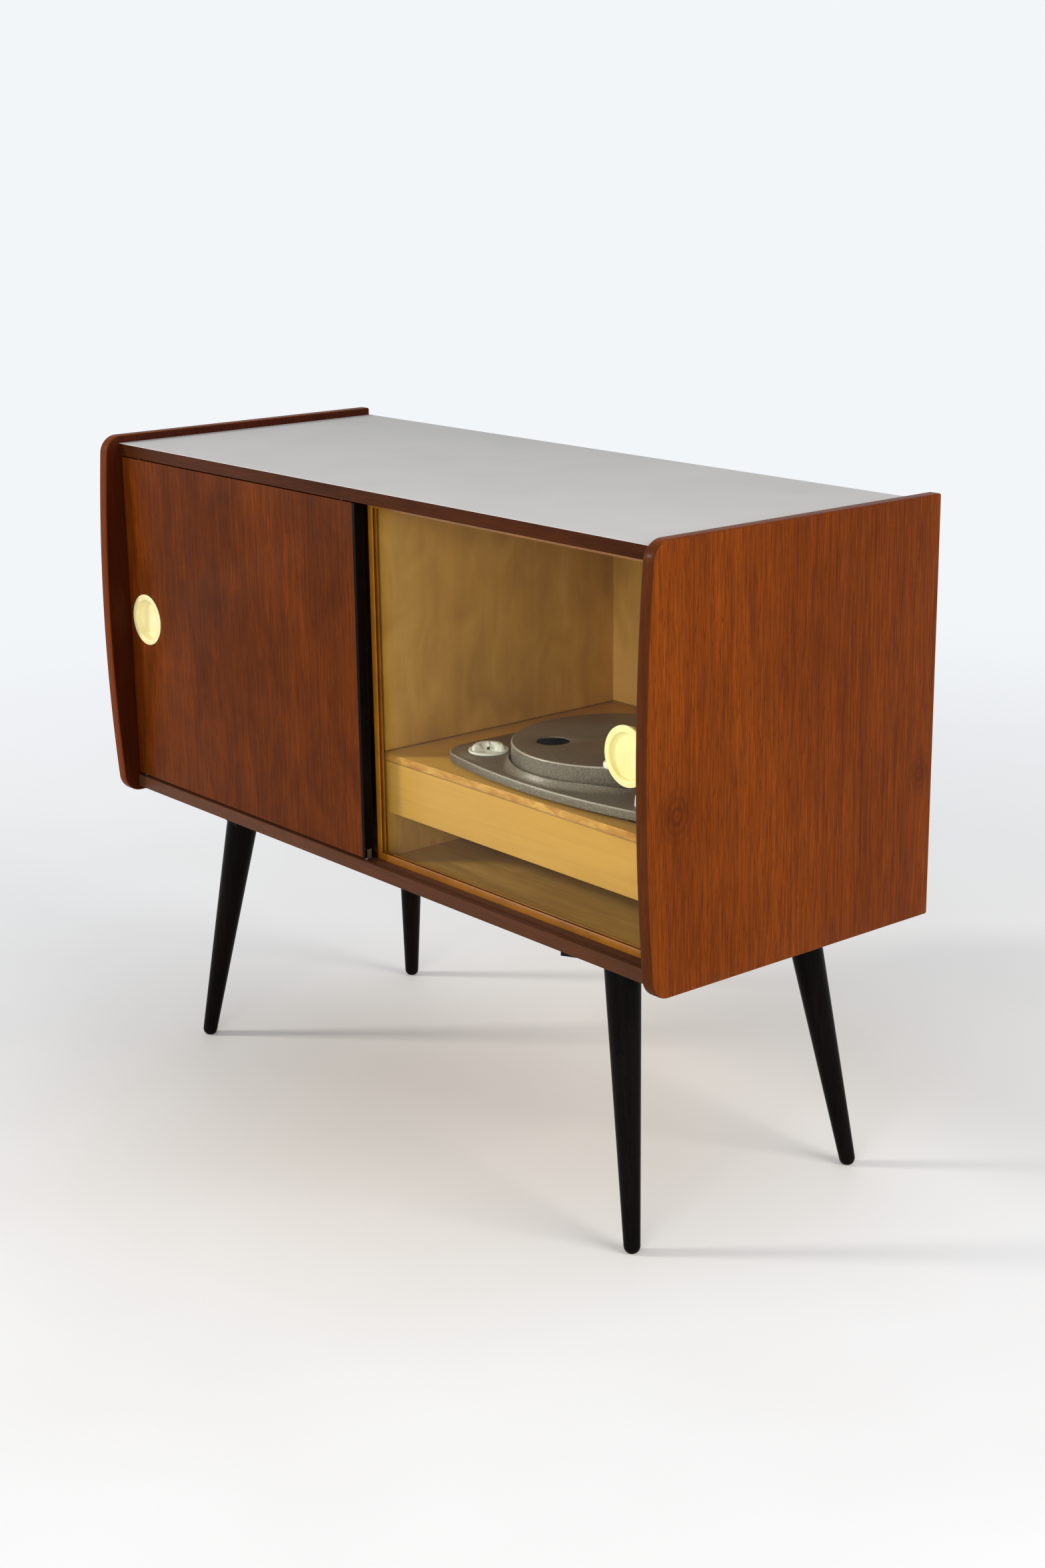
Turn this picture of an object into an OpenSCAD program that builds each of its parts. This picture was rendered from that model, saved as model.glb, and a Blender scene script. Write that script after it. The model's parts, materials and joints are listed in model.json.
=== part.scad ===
// Low cabinet on four splayed legs, with a record player behind sliding doors.
// Millimetres, +X to the right, +Y to the back, +Z up.
// The origin is on the floor, under the middle of the whole cabinet.

/* [Case] */
// Width over the two side panels
case_w = 1000; // [950:5:1200]
// Depth of the top and bottom panels
case_d = 380; // [370:5:460]
// Height from the underside of the case to its top surface
case_h = 437; // [400:1:520]
// Height of the underside above the floor
under_z = 326; // [260:1:400]
// Thickness of the top and bottom panels
panel_t = 15; // [14:0.5:20]
// Thickness of the side panels
side_t = 16; // [15:0.5:22]
// Height of the sides above the top surface
side_over = 9; // [4:0.5:16]
// Depth of the sides below the underside
side_under = 6; // [2:0.5:12]
// How far the ends of a side's front edge stand ahead of the case
side_lip = 17.5; // [12:0.5:24]
// How much further the front edge bows forward at mid height
bow_rise = 10.5; // [6:0.5:16]
// Radius of the sides' front corners
side_r = 20; // [10:1:30]
// Width of the left bay
left_bay_w = 474.5; // [430:0.5:500]
// Thickness of the divider
divider_t = 15; // [14:0.5:20]
// Thickness of the back panel
back_t = 4; // [3:0.5:6]
// How far the back panel is set in from the back edges
back_set = 2; // [2:0.5:4]
// How far the back panel laps into the panels around it
back_lap = 7; // [6:0.5:8]

/* [Doors] */
// Thickness of the wooden door
door_t = 12; // [10:0.5:14]
// How far the wooden door stands behind the case's front
door_set = 2; // [1:0.5:4]
// How far the wooden door reaches over the divider
door_lap = 11.5; // [8:0.5:14]
// Gap between a closed door and its side panel
door_side_gap = 1; // [0.5:0.5:3]
// Gap below the wooden door
door_lift = 3; // [2.5:0.5:5]
// Gap above the wooden door
door_head = 2; // [1.5:0.5:4]
// Gap between the two doors
door_space = 6; // [4:0.5:8]
// Gap between the glass door and the divider
glass_room = 5; // [5:0.5:9]
// Thickness of the glass
glass_t = 4; // [3:0.5:5]
// How far the glass door reaches over the divider
glass_lap = 4; // [2:0.5:12]
// Thickness of the edging round the glass
trim_t = 7; // [6:0.5:9]
// Width of the edging that shows
trim_w = 8; // [6:0.5:12]
// Thickness of the edging behind the pane's edge
trim_web = 1.5; // [1:0.5:3]
// Depth of the door grooves in the bottom panel
groove_low = 4; // [3:0.5:5]
// Depth of the door grooves in the top panel
groove_high = 9.5; // [8:0.5:10]
// How far the doors reach up into their top grooves
head_in = 5; // [3:0.5:6]
// Gap under a door in its groove
glide_gap = 0.3; // [0.2:0.1:0.5]
// Gap on each side of a door in its groove
groove_play = 0.4; // [0.3:0.1:0.8]
// Diameter of the wooden door's pins
pin_d = 4; // [3:0.5:5]
// Height of the glides' metal plate on the door's edge
glide_h = 10; // [8:1:16]
// Length of the glides' foot under the door
glide_l = 12; // [10:1:20]
// Width of the glides
glide_w = 6; // [5:0.5:8]
// Thickness of the glides' metal
glide_t = 1.2; // [0.8:0.1:2]

/* [Pulls] */
// Diameter of the pulls' flange
pull_d = 63; // [56:1:70]
// Height of the pulls' centre above the bottom panel
pull_z = 207; // [180:1:230]
// How much lower the glass door's pull sits
glass_pull_drop = 3.5; // [0:0.5:6]
// Distance of the wooden door's pull from the door's edge
wood_pull_in = 39; // [36:1:60]
// Distance of the glass door's pull from the door's edge
glass_pull_in = 64; // [56:0.5:80]
// Outer diameter of the wooden door's cup
wood_cup_d = 52; // [44:1:54]
// Depth of the wooden door's cup, floor included
wood_cup_h = 9.5; // [7:0.5:9.5]
// Thickness of the flange on the wooden door
wood_flange_t = 1.5; // [1:0.25:2]
// Outer diameter of the glass door's cup
glass_cup_d = 50; // [40:1:52]
// Depth of the glass door's cup, floor included
glass_cup_h = 8; // [7:0.5:8.5]
// Thickness of the floor in the glass door's cup
glass_floor_t = 6.5; // [1.5:0.5:6.5]
// Thickness of the flange on the glass door
glass_flange_t = 3; // [2:0.25:4]
// Wall thickness of the pulls
pull_wall = 1.6; // [1.2:0.1:2.4]
// Diameter of the ring behind the glass
ring_d = 58; // [56:1:61]
// Thickness of the ring behind the glass
ring_t = 2.5; // [2:0.25:3]

/* [Legs] */
// Diameter of a leg at its top
leg_top_d = 40; // [34:1:46]
// Diameter of a leg just above its tip
leg_foot_d = 18; // [14:1:24]
// Diameter of the flat under a leg's tip
leg_flat_d = 10; // [6:1:12]
// Sideways lean of the legs between the case and the floor
lean_x = 57; // [30:1:80]
// Lean of the legs to the front and back
lean_y = 37; // [20:1:60]
// Distance of the legs' axes from the case's outer sides, at the underside
leg_in_x = 149; // [120:1:180]
// Distance of the front legs' axes from the case's front, at the underside
leg_in_front = 75; // [60:1:90]
// Distance of the back legs' axes from the case's back, at the underside
leg_in_back = 49; // [47:1:70]
// Size of the leg blocks, square
block_w = 90; // [84:1:96]
// Thickness of the blocks where the legs' axes pass
block_mid = 18; // [17:0.5:26]
// Diameter of the legs' studs
stud_d = 8; // [6:1:10]
// Length of a stud in its leg
stud_in_leg = 25; // [20:1:40]
// Length of a stud in its block
stud_in_block = 13; // [10:1:14]
// Distance of the block screws from the block's middle
block_screw_in = 31; // [28:1:34]
// Wood left under the block screws' heads
block_land = 5; // [4:0.5:6]

/* [Deck] */
// Height of the deck's top above the bottom panel
deck_z = 122; // [100:1:150]
// Thickness of the deck board
deck_t = 9; // [8:0.5:14]
// Height of the fascia under the board
fascia_h = 60; // [40:1:80]
// Thickness of the fascia
fascia_t = 12; // [9:0.5:16]
// Size of the cleats, square
cleat_w = 18; // [14:1:24]

/* [Player] */
// Width of the pressed base
base_w = 346; // [336:1:380]
// Depth of the pressed base
base_d = 254; // [250:1:280]
// Height of the pressed base
base_h = 10; // [9:0.5:14]
// Gap between the base's edge and the deck
base_gap = 3; // [2:0.5:5]
// Distance of the base behind the deck's front edge
base_set = 6; // [4:0.5:20]
// Radius of the base's bowed front
base_bow_r = 688; // [620:1:800]
// Radius of the base's corners
base_r = 36; // [28:1:38]
// Radius of the base's rolled edge
base_edge = 4; // [3:0.5:6]
// Thickness of the base's sheet
sheet_t = 1.6; // [1.2:0.1:2]
// Height of the raised collar round the platter
collar_h = 8; // [5:0.5:10]
// Width of the raised collar
collar_w = 13; // [10:1:16]
// Distance of the platter's centre behind the base's front
platter_in = 124; // [122:1:130]
// Diameter of the platter
platter_d = 224; // [220:1:232]
// Height of the platter's skirt
platter_h = 25; // [20:0.5:26]
// Wall thickness of the platter
platter_t = 1.8; // [1.4:0.1:2.4]
// Radius of the platter's rolled rim
platter_edge = 3; // [2.5:0.5:6]
// Gap between the platter and the base, below and around it
platter_gap = 1.5; // [1:0.25:3]
// Diameter of the round hole in the platter
port_d = 36.6; // [30:0.2:42]
// Distance of that hole from the spindle
port_r = 66.8; // [60:0.2:72]
// Direction of that hole at rest
port_a = 235; // [200:1:250]
// Diameter of the spindle
spindle_d = 7.1; // [6.9:0.05:7.2]
// Height of the spindle above the platter
spindle_up = 12; // [8:0.5:20]
// Running clearance of shafts in their bores, on the radius
run = 0.05; // [0.02:0.01:0.08]
// Clearance of pieces that are fitted and stay, on the radius
fit = 0.1; // [0.05:0.05:0.2]
// Diameter of the base's rubber mounts
mount_d = 16; // [12:1:18]
// Distance of the mounts from the base's edges
mount_in = 18; // [16:1:22]
// Distance of the front mounts behind the base's front
mount_front = 89; // [80:1:100]
// Diameter of the base's bolts
bolt_d = 4; // [3:0.5:5]

/* [Adapter] */
// Diameter of the adapter's dish
dish_d = 44; // [42:1:48]
// Distance of the dish from the spindle, to the left
dish_x = 116.5; // [116:0.5:122]
// Distance of the dish from the spindle, to the front
dish_y = 81; // [80:0.5:86]
// Depth of the dish
dish_h = 8; // [6:0.5:9]
// Height of the pressed boss round the dish
boss_h = 6; // [4:0.5:8]
// How far the boss spreads from the dish's centre
boss_reach = 66; // [50:1:72]
// Play of the adapter in its dish
puck_play = 1; // [0.5:0.25:2]
// Height of the adapter
puck_h = 14.5; // [8:0.5:16]

/* [Drive] */
// Diameter of the motor's case
motor_d = 70; // [60:1:76]
// Height of the motor's case
motor_h = 44; // [36:1:48]
// Length of the motor's rubber mounts
motor_mount_h = 8; // [6:0.5:10]
// Diameter of the idler wheel over its tyre
idler_d = 48; // [40:1:54]
// Thickness of the idler's tyre
tyre_h = 5; // [4:0.5:6]
// Height of the idler wheel above the base
idler_z = 7; // [5:0.5:8]
// Diameter of the motor pulley's largest step
pulley_d = 7; // [6:0.25:9]
// Gap between the idler wheel and what it drives
drive_gap = 0.3; // [0.2:0.05:0.4]
// Direction of the idler wheel from the spindle
idler_a = 60; // [50:1:70]
// Direction of the motor pulley from the idler wheel
pulley_a = 275; // [265:1:285]

/* [Knob] */
// Diameter of the speed knob
knob_d = 22; // [18:1:24]
// Height of the speed knob
knob_h = 10; // [8:0.5:12]
// Distance of the knob from the spindle, to the right
knob_x = 143; // [138:0.5:143]
// Distance of the knob from the spindle, to the front
knob_y = 88; // [82:0.5:88]
// Diameter of the knob's shaft
knob_shaft_d = 6; // [5:0.5:8]
// Diameter of the switch under the base
switch_d = 28; // [24:1:28]
// Height of the switch
switch_h = 16; // [12:1:22]

/* [Tonearm] */
// Distance of the arm's post from the spindle, to the right
arm_x = 155; // [154:0.5:158]
// Distance of the arm's post from the spindle, to the back
arm_y = 86; // [84:0.5:92]
// Direction of the arm at rest, from the post
arm_a = 256.4; // [254:0.1:257]
// Distance from the post to the stylus
arm_l = 190; // [186:0.5:194]
// Height of the arm's tube above the base
arm_z = 40; // [38:0.5:44]
// Diameter of the arm's tube
tube_d = 8; // [6:0.5:10]
// Diameter of the arm's post
post_d = 20; // [18:1:22]
// Diameter of the arm's upright shaft
swing_d = 7; // [6:0.5:8]
// Diameter of the pin that the arm lifts on
lift_d = 3; // [2:0.5:4]
// Width of the arm's head
head_w = 17; // [14:0.5:20]
// Thickness of the arm's head
head_h = 9; // [8:0.5:11]
// Length of the head ahead of the stylus
nose_l = 13.7; // [11:0.1:16]
// Length of the head behind the stylus
head_back = 26; // [20:1:32]
// Distance of the arm's rest from the post
rest_l = 36; // [34:1:38]
// Diameter of the counterweight
weight_d = 26; // [20:1:28]
// Length of the counterweight
weight_l = 22; // [16:1:24]

/* [Fasteners] */
// Diameter of the dowels
dowel_d = 8; // [6:1:8]
// Length of the dowels
dowel_l = 30; // [24:1:36]
// Depth of a dowel in the board that it enters crosswise
dowel_in = 9; // [8:0.5:10]
// Distance of the outer dowels from the case's front and back
dowel_edge = 70; // [60:1:90]
// Diameter of the wood screws
screw_d = 3.5; // [3:0.25:4]
// Diameter of the wood screws' heads
screw_head_d = 6.5; // [6:0.25:7]
// Height of the wood screws' heads
screw_head_h = 1.8; // [1.2:0.1:2]
// Length of the wood screws
screw_l = 14; // [12:0.5:16]
// Greatest distance between the back panel's screws
screw_pitch = 240; // [160:5:300]
// Bore of the grommet that the leads pass
lead_d = 16; // [12:0.5:20]
// Height of the grommet above the bottom panel
lead_z = 30; // [24:1:45]
// Distance of the grommet from the right side panel
lead_in = 60; // [40:1:120]

/* [Hidden] */
$fn = 64;
fine = 0.01;  // thickness of a slice that only shapes a hull
over = 1;     // how far a cut runs past the face that it opens

// Case planes
half_w = case_w / 2;
in_x = half_w - side_t;
front_y = -(case_d - side_lip - bow_rise) / 2;
back_y = front_y + case_d;
back_face = back_y - back_set;      // outer face of the back panel
inner_y = back_face - back_t;       // inner face of the back panel
top_z = under_z + case_h;
low_z = under_z + panel_t;
high_z = top_z - panel_t;
side_h = case_h + side_over + side_under;
side_z = under_z - side_under;
div_x = -in_x + left_bay_w;
bay_x = div_x + divider_t;
bay_w = in_x - bay_x;

// Door planes
door_y = front_y + door_set;
pin_y = door_y + door_t / 2;
trim_y = door_y + door_t + door_space;
lip_t = (trim_t - glass_t) / 2;
bay_y = trim_y + trim_t + glass_room;  // front of the divider and the deck
door_x = -in_x + door_side_gap;
door_w = left_bay_w - door_side_gap + door_lap;
door_z0 = low_z + door_lift;
door_z1 = high_z - door_head;
glass_x1 = in_x - door_side_gap;
glass_x0 = bay_x - glass_lap;
glass_z0 = low_z - groove_low + glide_gap;
glass_z1 = high_z + head_in;
low_trim_h = trim_w + low_z - glass_z0;
high_trim_h = trim_w + head_in;

// Player planes and places
deck_top = low_z + deck_z;
deck_low = deck_top - deck_t;
spin_x = bay_x + bay_w / 2;
base_y = bay_y + base_set;
spin_y = base_y + platter_in;
base_low = deck_top + base_gap;
base_top = base_low + base_h;
base_under = base_top - sheet_t;
platter_r = platter_d / 2;
well_r = platter_r + platter_gap;   // inner edge of the collar and the boss
platter_low = base_top + platter_gap;
platter_top = platter_low + platter_h;
idler_r = platter_r - platter_t - drive_gap - idler_d / 2;
pulley_gap = idler_d / 2 + pulley_d / 2 + drive_gap;
idler_xy = [spin_x + idler_r * cos(idler_a), spin_y + idler_r * sin(idler_a)];
motor_xy = idler_xy + pulley_gap * [cos(pulley_a), sin(pulley_a)];
knob_xy = [spin_x + knob_x, spin_y - knob_y];
dish_xy = [spin_x - dish_x, spin_y - dish_y];
arm_xy = [spin_x + arm_x, spin_y + arm_y];
boss_top = base_top + boss_h;
mount_xy = [for (sx = [-1, 1], y = [mount_front, base_d - mount_in])
    [spin_x + sx * (base_w / 2 - mount_in), base_y + y]];

// ---- shared shapes ----

module block(x0, x1, y0, y1, z0, z1) {
    translate([x0, y0, z0]) cube([x1 - x0, y1 - y0, z1 - z0]);
}

module rod(x, y, z0, z1, d) {
    translate([x, y, z0]) cylinder(d = d, h = z1 - z0);
}

// Points of an arc round c, from angle a0 to a1
function arc(c, r, a0, a1, steps) =
    [for (i = [0 : steps]) c + r * [cos(a0 + (a1 - a0) * i / steps), sin(a0 + (a1 - a0) * i / steps)]];

// ---- case ----

bow_r = (pow(side_h / 2, 2) + pow(bow_rise, 2)) / (2 * bow_rise);
bow_c = [front_y - side_lip - bow_rise + bow_r, side_z + side_h / 2];
corner_dz = side_h / 2 - side_r;
corner_dy = sqrt(pow(bow_r - side_r, 2) - pow(corner_dz, 2));
corner_a = atan2(corner_dz, corner_dy);

// A side's outline, with Y and Z as its two axes
module side_outline() {
    polygon(concat(
        [[back_y, side_z]],
        arc(bow_c + [-corner_dy, -corner_dz], side_r, 270, 180 + corner_a, 10),
        arc(bow_c, bow_r, 180 + corner_a, 180 - corner_a, 24),
        arc(bow_c + [-corner_dy, corner_dz], side_r, 180 - corner_a, 90, 10),
        [[back_y, side_z + side_h]]));
}

dowel_ys = [front_y + dowel_edge, (front_y + back_y) / 2, back_y - dowel_edge];
dowel_zs = [under_z + panel_t / 2, top_z - panel_t / 2];

// Dowels between the sides and the top and bottom; sx is -1 for the left side
module end_dowels(sx, grow) {
    for (y = dowel_ys, z = dowel_zs)
        translate([sx * (in_x + dowel_in + grow), y, z])
            rotate([0, -90 * sx, 0])
                cylinder(d = dowel_d + 2 * (grow > 0 ? fit : 0), h = dowel_l + 2 * grow);
}

// Dowels between the divider and the top and bottom
module divider_dowels(grow) {
    for (y = [dowel_ys[0] + dowel_d, dowel_ys[2]], z = [low_z - dowel_in, high_z + dowel_in - dowel_l])
        rod(div_x + divider_t / 2, y, z - grow, z + dowel_l + grow, dowel_d + 2 * (grow > 0 ? fit : 0));
}

module dowels() {
    color("burlywood") {
        end_dowels(-1, 0);
        end_dowels(1, 0);
        divider_dowels(0);
    }
}

// The space of the back panel and the way that it goes in
module back_space() {
    block(-in_x - back_lap, in_x + back_lap, inner_y, back_y + over, low_z - back_lap, high_z + back_lap);
}

// Positions of the back panel's screws along one line
function spread(a, b) = let(n = ceil((b - a) / screw_pitch)) [for (i = [0 : n]) a + (b - a) * i / n];
screw_x = in_x + back_lap / 2;
screw_z0 = low_z - back_lap / 2;
screw_z1 = high_z + back_lap / 2;
back_screw_xz = concat(
    [for (x = spread(-in_x + dowel_edge, in_x - dowel_edge), z = [screw_z0, screw_z1]) [x, z]],
    [for (sx = [-1, 1], z = spread(low_z + dowel_edge, high_z - dowel_edge)) [sx * screw_x, z]],
    [for (z = spread(low_z + dowel_edge, high_z - dowel_edge)) [div_x + divider_t / 2, z]]);

// Holes for the back panel's screws, from the panel's outer face inwards
module back_screw_holes() {
    for (p = back_screw_xz)
        translate([p[0], back_face + over, p[1]])
            rotate([90, 0, 0]) cylinder(d = screw_d + 2 * fit, h = over + screw_l + fit, $fn = 24);
}

module back_screws() {
    color("silver")
        for (p = back_screw_xz)
            translate([p[0], back_face, p[1]]) rotate([90, 0, 0]) {
                cylinder(d = screw_d, h = screw_l, $fn = 24);
                translate([0, 0, -screw_head_h]) cylinder(d = screw_head_d, h = screw_head_h, $fn = 24);
            }
}

module side_panel(sx) {
    color("saddlebrown") difference() {
        translate([sx < 0 ? -half_w : in_x, 0, 0])
            rotate([90, 0, 90]) linear_extrude(side_t) side_outline();
        end_dowels(sx, fit);
        back_space();
        back_screw_holes();
    }
}

module side_left() side_panel(-1);
module side_right() side_panel(1);

// The two door grooves, between two heights
module door_grooves(z0, z1) {
    pin_half = pin_d / 2 + groove_play;
    block(-in_x - over, in_x + over, pin_y - pin_half, pin_y + pin_half, z0, z1);
    block(-in_x - over, in_x + over, trim_y - groove_play, trim_y + trim_t + groove_play, z0, z1);
}

module top_panel() {
    color("sienna") difference() {
        block(-in_x, in_x, front_y, back_y, high_z, top_z);
        door_grooves(high_z - over, high_z + groove_high);
        back_space();
        end_dowels(-1, fit);
        end_dowels(1, fit);
        divider_dowels(fit);
        back_screw_holes();
    }
}

module bottom_panel() {
    color("sienna") difference() {
        block(-in_x, in_x, front_y, back_y, under_z, low_z);
        door_grooves(low_z - groove_low, low_z + over);
        back_space();
        end_dowels(-1, fit);
        end_dowels(1, fit);
        divider_dowels(fit);
        back_screw_holes();
        all_block_screws(fit);
    }
}

module divider() {
    color("burlywood") difference() {
        block(div_x, bay_x, bay_y, inner_y, low_z, high_z);
        divider_dowels(fit);
        back_screw_holes();
    }
}

lead_x = in_x - lead_in;
grommet_neck_d = lead_d + 4;    // over the wall that passes the panel
grommet_flange_d = lead_d + 12;

module back_panel() {
    color("burlywood") difference() {
        block(-in_x - back_lap, in_x + back_lap, inner_y, back_face, low_z - back_lap, high_z + back_lap);
        back_screw_holes();
        translate([lead_x, back_face + over, low_z + lead_z])
            rotate([90, 0, 0]) cylinder(d = grommet_neck_d, h = back_t + 2 * over);
    }
}

// Rubber grommet with a flange on each face of the back panel
module lead_grommet() {
    color("dimgray") translate([lead_x, back_face, low_z + lead_z]) rotate([90, 0, 0]) difference() {
        union() {
            cylinder(d = grommet_neck_d, h = back_t);
            translate([0, 0, -back_set]) cylinder(d = grommet_flange_d, h = back_set);
            translate([0, 0, back_t]) cylinder(d = grommet_flange_d, h = back_set);
        }
        translate([0, 0, -back_set - over]) cylinder(d = lead_d, h = back_t + 2 * back_set + 2 * over);
    }
}

// ---- deck ----

drive_room = 7;     // round the motor and the bearing in the deck's holes
small_room = 4;     // round the switch and the arm's post
bolt_room = 0.5;    // round a bolt

module deck_hole(p, d) rod(p[0], p[1], deck_low - over, deck_top + over, d);

module deck_board() {
    color("goldenrod") difference() {
        block(bay_x, in_x, bay_y, inner_y, deck_low, deck_top);
        deck_hole(motor_xy, motor_d + 2 * drive_room);
        deck_hole([spin_x, spin_y], bearing_d + 2 * drive_room);
        deck_hole(knob_xy, switch_d + 2 * small_room);
        deck_hole(arm_xy, post_d + 2 * small_room);
        for (p = mount_xy) deck_hole(p, bolt_d + 2 * bolt_room);
    }
}

module deck_fascia() {
    color("goldenrod") block(bay_x, in_x, bay_y, bay_y + fascia_t, deck_low - fascia_h, deck_low);
}

module side_cleat(x) {
    color("burlywood") block(x, x + cleat_w, bay_y + fascia_t, inner_y, deck_low - cleat_w, deck_low);
}

module deck_cleat_left() side_cleat(bay_x);
module deck_cleat_right() side_cleat(in_x - cleat_w);

module deck_cleat_back() {
    color("burlywood")
        block(bay_x + cleat_w, in_x - cleat_w, inner_y - cleat_w, inner_y, deck_low - cleat_w, deck_low);
}

// ---- legs ----

leg_tilt = atan(sqrt(lean_x * lean_x + lean_y * lean_y) / under_z);
seat_z = under_z - block_mid;
tip_r = leg_foot_d / 2;
tip_z = sqrt(tip_r * tip_r - leg_flat_d * leg_flat_d / 4);  // centre of the rounded tip
leg_l = (seat_z - tip_z) / cos(leg_tilt);

// Where a leg's axis meets the underside; sx -1 is left, sy -1 is front
function leg_xy(sx, sy) = [sx * (half_w - leg_in_x), sy < 0 ? front_y + leg_in_front : back_y - leg_in_back];

// Puts the origin on a leg's seat, with +Z up along the leg
module at_leg(sx, sy) {
    drop = block_mid / under_z;
    translate([leg_xy(sx, sy)[0] + sx * lean_x * drop, leg_xy(sx, sy)[1] + sy * lean_y * drop, seat_z])
        rotate([0, 0, atan2(sy * lean_y, sx * lean_x) - 180])
            rotate([0, leg_tilt, 0]) children();
}

module leg(sx, sy) {
    color([0.12, 0.1, 0.09]) difference() {
        at_leg(sx, sy) difference() {
            rotate_extrude() polygon(concat(
                [[0, 0], [leg_top_d / 2, 0]],
                arc([0, -leg_l], tip_r, 0, -90, 8)));
            translate([0, 0, -stud_in_leg - over]) cylinder(d = stud_d + 2 * fit, h = stud_in_leg + 2 * over);
        }
        block(-case_w, case_w, -case_w, case_w, -leg_foot_d, 0);
    }
}

module leg_fl() leg(-1, -1);
module leg_fr() leg(1, -1);
module leg_bl() leg(-1, 1);
module leg_br() leg(1, 1);

module leg_studs() {
    color("silver")
        for (sx = [-1, 1], sy = [-1, 1])
            at_leg(sx, sy)
                translate([0, 0, -stud_in_leg]) cylinder(d = stud_d, h = stud_in_leg + stud_in_block);
}

// Screws of one block; grow widens them into their holes
module one_block_screws(sx, sy, grow) {
    seat = under_z - block_land;
    for (dx = [-1, 1], dy = [-1, 1]) {
        p = leg_xy(sx, sy) + block_screw_in * [dx, dy];
        rod(p[0], p[1], seat - screw_head_h - (grow > 0 ? block_mid : 0), seat, screw_head_d + 2 * grow,
            $fn = 24);
        rod(p[0], p[1], seat, seat + screw_l + grow, screw_d + 2 * grow, $fn = 24);
    }
}

module all_block_screws(grow) {
    for (sx = [-1, 1], sy = [-1, 1]) one_block_screws(sx, sy, grow);
}

module block_screws() color("silver") all_block_screws(0);

// Wedge whose lower face is square to the leg
module leg_block(sx, sy) {
    p = leg_xy(sx, sy);
    half = block_w / 2;
    color([0.12, 0.1, 0.09]) difference() {
        intersection() {
            block(p[0] - half, p[0] + half, p[1] - half, p[1] + half, seat_z - half, under_z);
            at_leg(sx, sy) block(-2 * block_w, 2 * block_w, -2 * block_w, 2 * block_w, 0, 2 * block_w);
        }
        at_leg(sx, sy) translate([0, 0, -over])
            cylinder(d = stud_d + 2 * fit, h = stud_in_block + fit + over);
        one_block_screws(sx, sy, fit);
    }
}

module leg_block_fl() leg_block(-1, -1);
module leg_block_fr() leg_block(1, -1);
module leg_block_bl() leg_block(-1, 1);
module leg_block_br() leg_block(1, 1);

// ---- wooden door ----

pull_height = low_z + pull_z;

// Cup pull round +Z, its flange on the plane z = 0 and its cup below
module cup_pull(cup_d, cup_h, flange_t, floor_t) {
    cup_r = cup_d / 2;
    mouth_r = cup_r - pull_wall;
    soft = flange_t / 2;
    rotate_extrude() polygon(concat(
        [[0, -cup_h], [cup_r, -cup_h], [cup_r, 0], [pull_d / 2, 0]],
        arc([pull_d / 2 - soft, flange_t - soft], soft, 0, 90, 4),
        arc([mouth_r + soft, flange_t - soft], soft, 90, 180, 4),
        [[mouth_r, floor_t - cup_h], [0, floor_t - cup_h]]));
}

// One door glide: a plate on the door's edge, a foot under the door and a pin. sx is the edge's side
module glide(sx) {
    edge = sx < 0 ? door_x : door_x + door_w;
    y0 = pin_y - glide_w / 2;
    mirror([sx < 0 ? 1 : 0, 0, 0]) translate([sx * edge, 0, 0]) {
        block(-glide_t, 0, y0, y0 + glide_w, door_z0 - glide_t, door_z0 + glide_h);
        block(-glide_l, 0, y0, y0 + glide_w, door_z0 - glide_t, door_z0);
        rod(-glide_l / 2, pin_y, low_z - groove_low + glide_gap, door_z0, pin_d);
    }
}

module door_glides() {
    color("silver") {
        glide(-1);
        glide(1);
    }
}

pin_inset = 30;     // distance of the top pins from the door's edges
pin_root = 15;      // length of a top pin in the door

module top_pins(grow) {
    for (x = [door_x + pin_inset, door_x + door_w - pin_inset])
        rod(x, pin_y, door_z1 - pin_root - grow, high_z + head_in, pin_d + 2 * grow);
}

module door_top_pins() color("silver") top_pins(0);

module wood_door() {
    color("sienna") difference() {
        block(door_x, door_x + door_w, door_y, door_y + door_t, door_z0, door_z1);
        translate([door_x + wood_pull_in, door_y - over, pull_height])
            rotate([-90, 0, 0]) cylinder(d = wood_cup_d + 2 * fit, h = wood_cup_h + over);
        glide(-1);
        glide(1);
        top_pins(fit);
    }
}

module wood_pull() {
    color("khaki") translate([door_x + wood_pull_in, door_y, pull_height])
        rotate([90, 0, 0]) cup_pull(wood_cup_d, wood_cup_h, wood_flange_t, pull_wall);
}

// ---- glass door ----

pane_y = trim_y + lip_t;
glass_pull_x = glass_x1 - glass_pull_in;
glass_pull_z = pull_height - glass_pull_drop;

module pane(x0, x1, z0, z1) block(x0, x1, pane_y, pane_y + glass_t, z0, z1);

module whole_pane() {
    pane(glass_x0 + trim_web, glass_x1 - trim_web, glass_z0 + trim_web, glass_z1 - trim_web);
}

module glass_pane() {
    color([0.75, 0.85, 0.8, 0.35]) difference() {
        whole_pane();
        translate([glass_pull_x, trim_y, glass_pull_z])
            rotate([-90, 0, 0]) cylinder(d = glass_cup_d + 2 * fit, h = trim_t);
    }
}

// One length of edging, grooved for the pane
module trim(x0, x1, z0, z1) {
    color([0.6, 0.38, 0.06, 0.8]) difference() {
        block(x0, x1, trim_y, trim_y + trim_t, z0, z1);
        whole_pane();
    }
}

module trim_left() trim(glass_x0, glass_x0 + trim_w, glass_z0, glass_z1);
module trim_right() trim(glass_x1 - trim_w, glass_x1, glass_z0, glass_z1);
module trim_bottom() trim(glass_x0 + trim_w, glass_x1 - trim_w, glass_z0, glass_z0 + low_trim_h);
module trim_top() trim(glass_x0 + trim_w, glass_x1 - trim_w, glass_z1 - high_trim_h, glass_z1);

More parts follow.
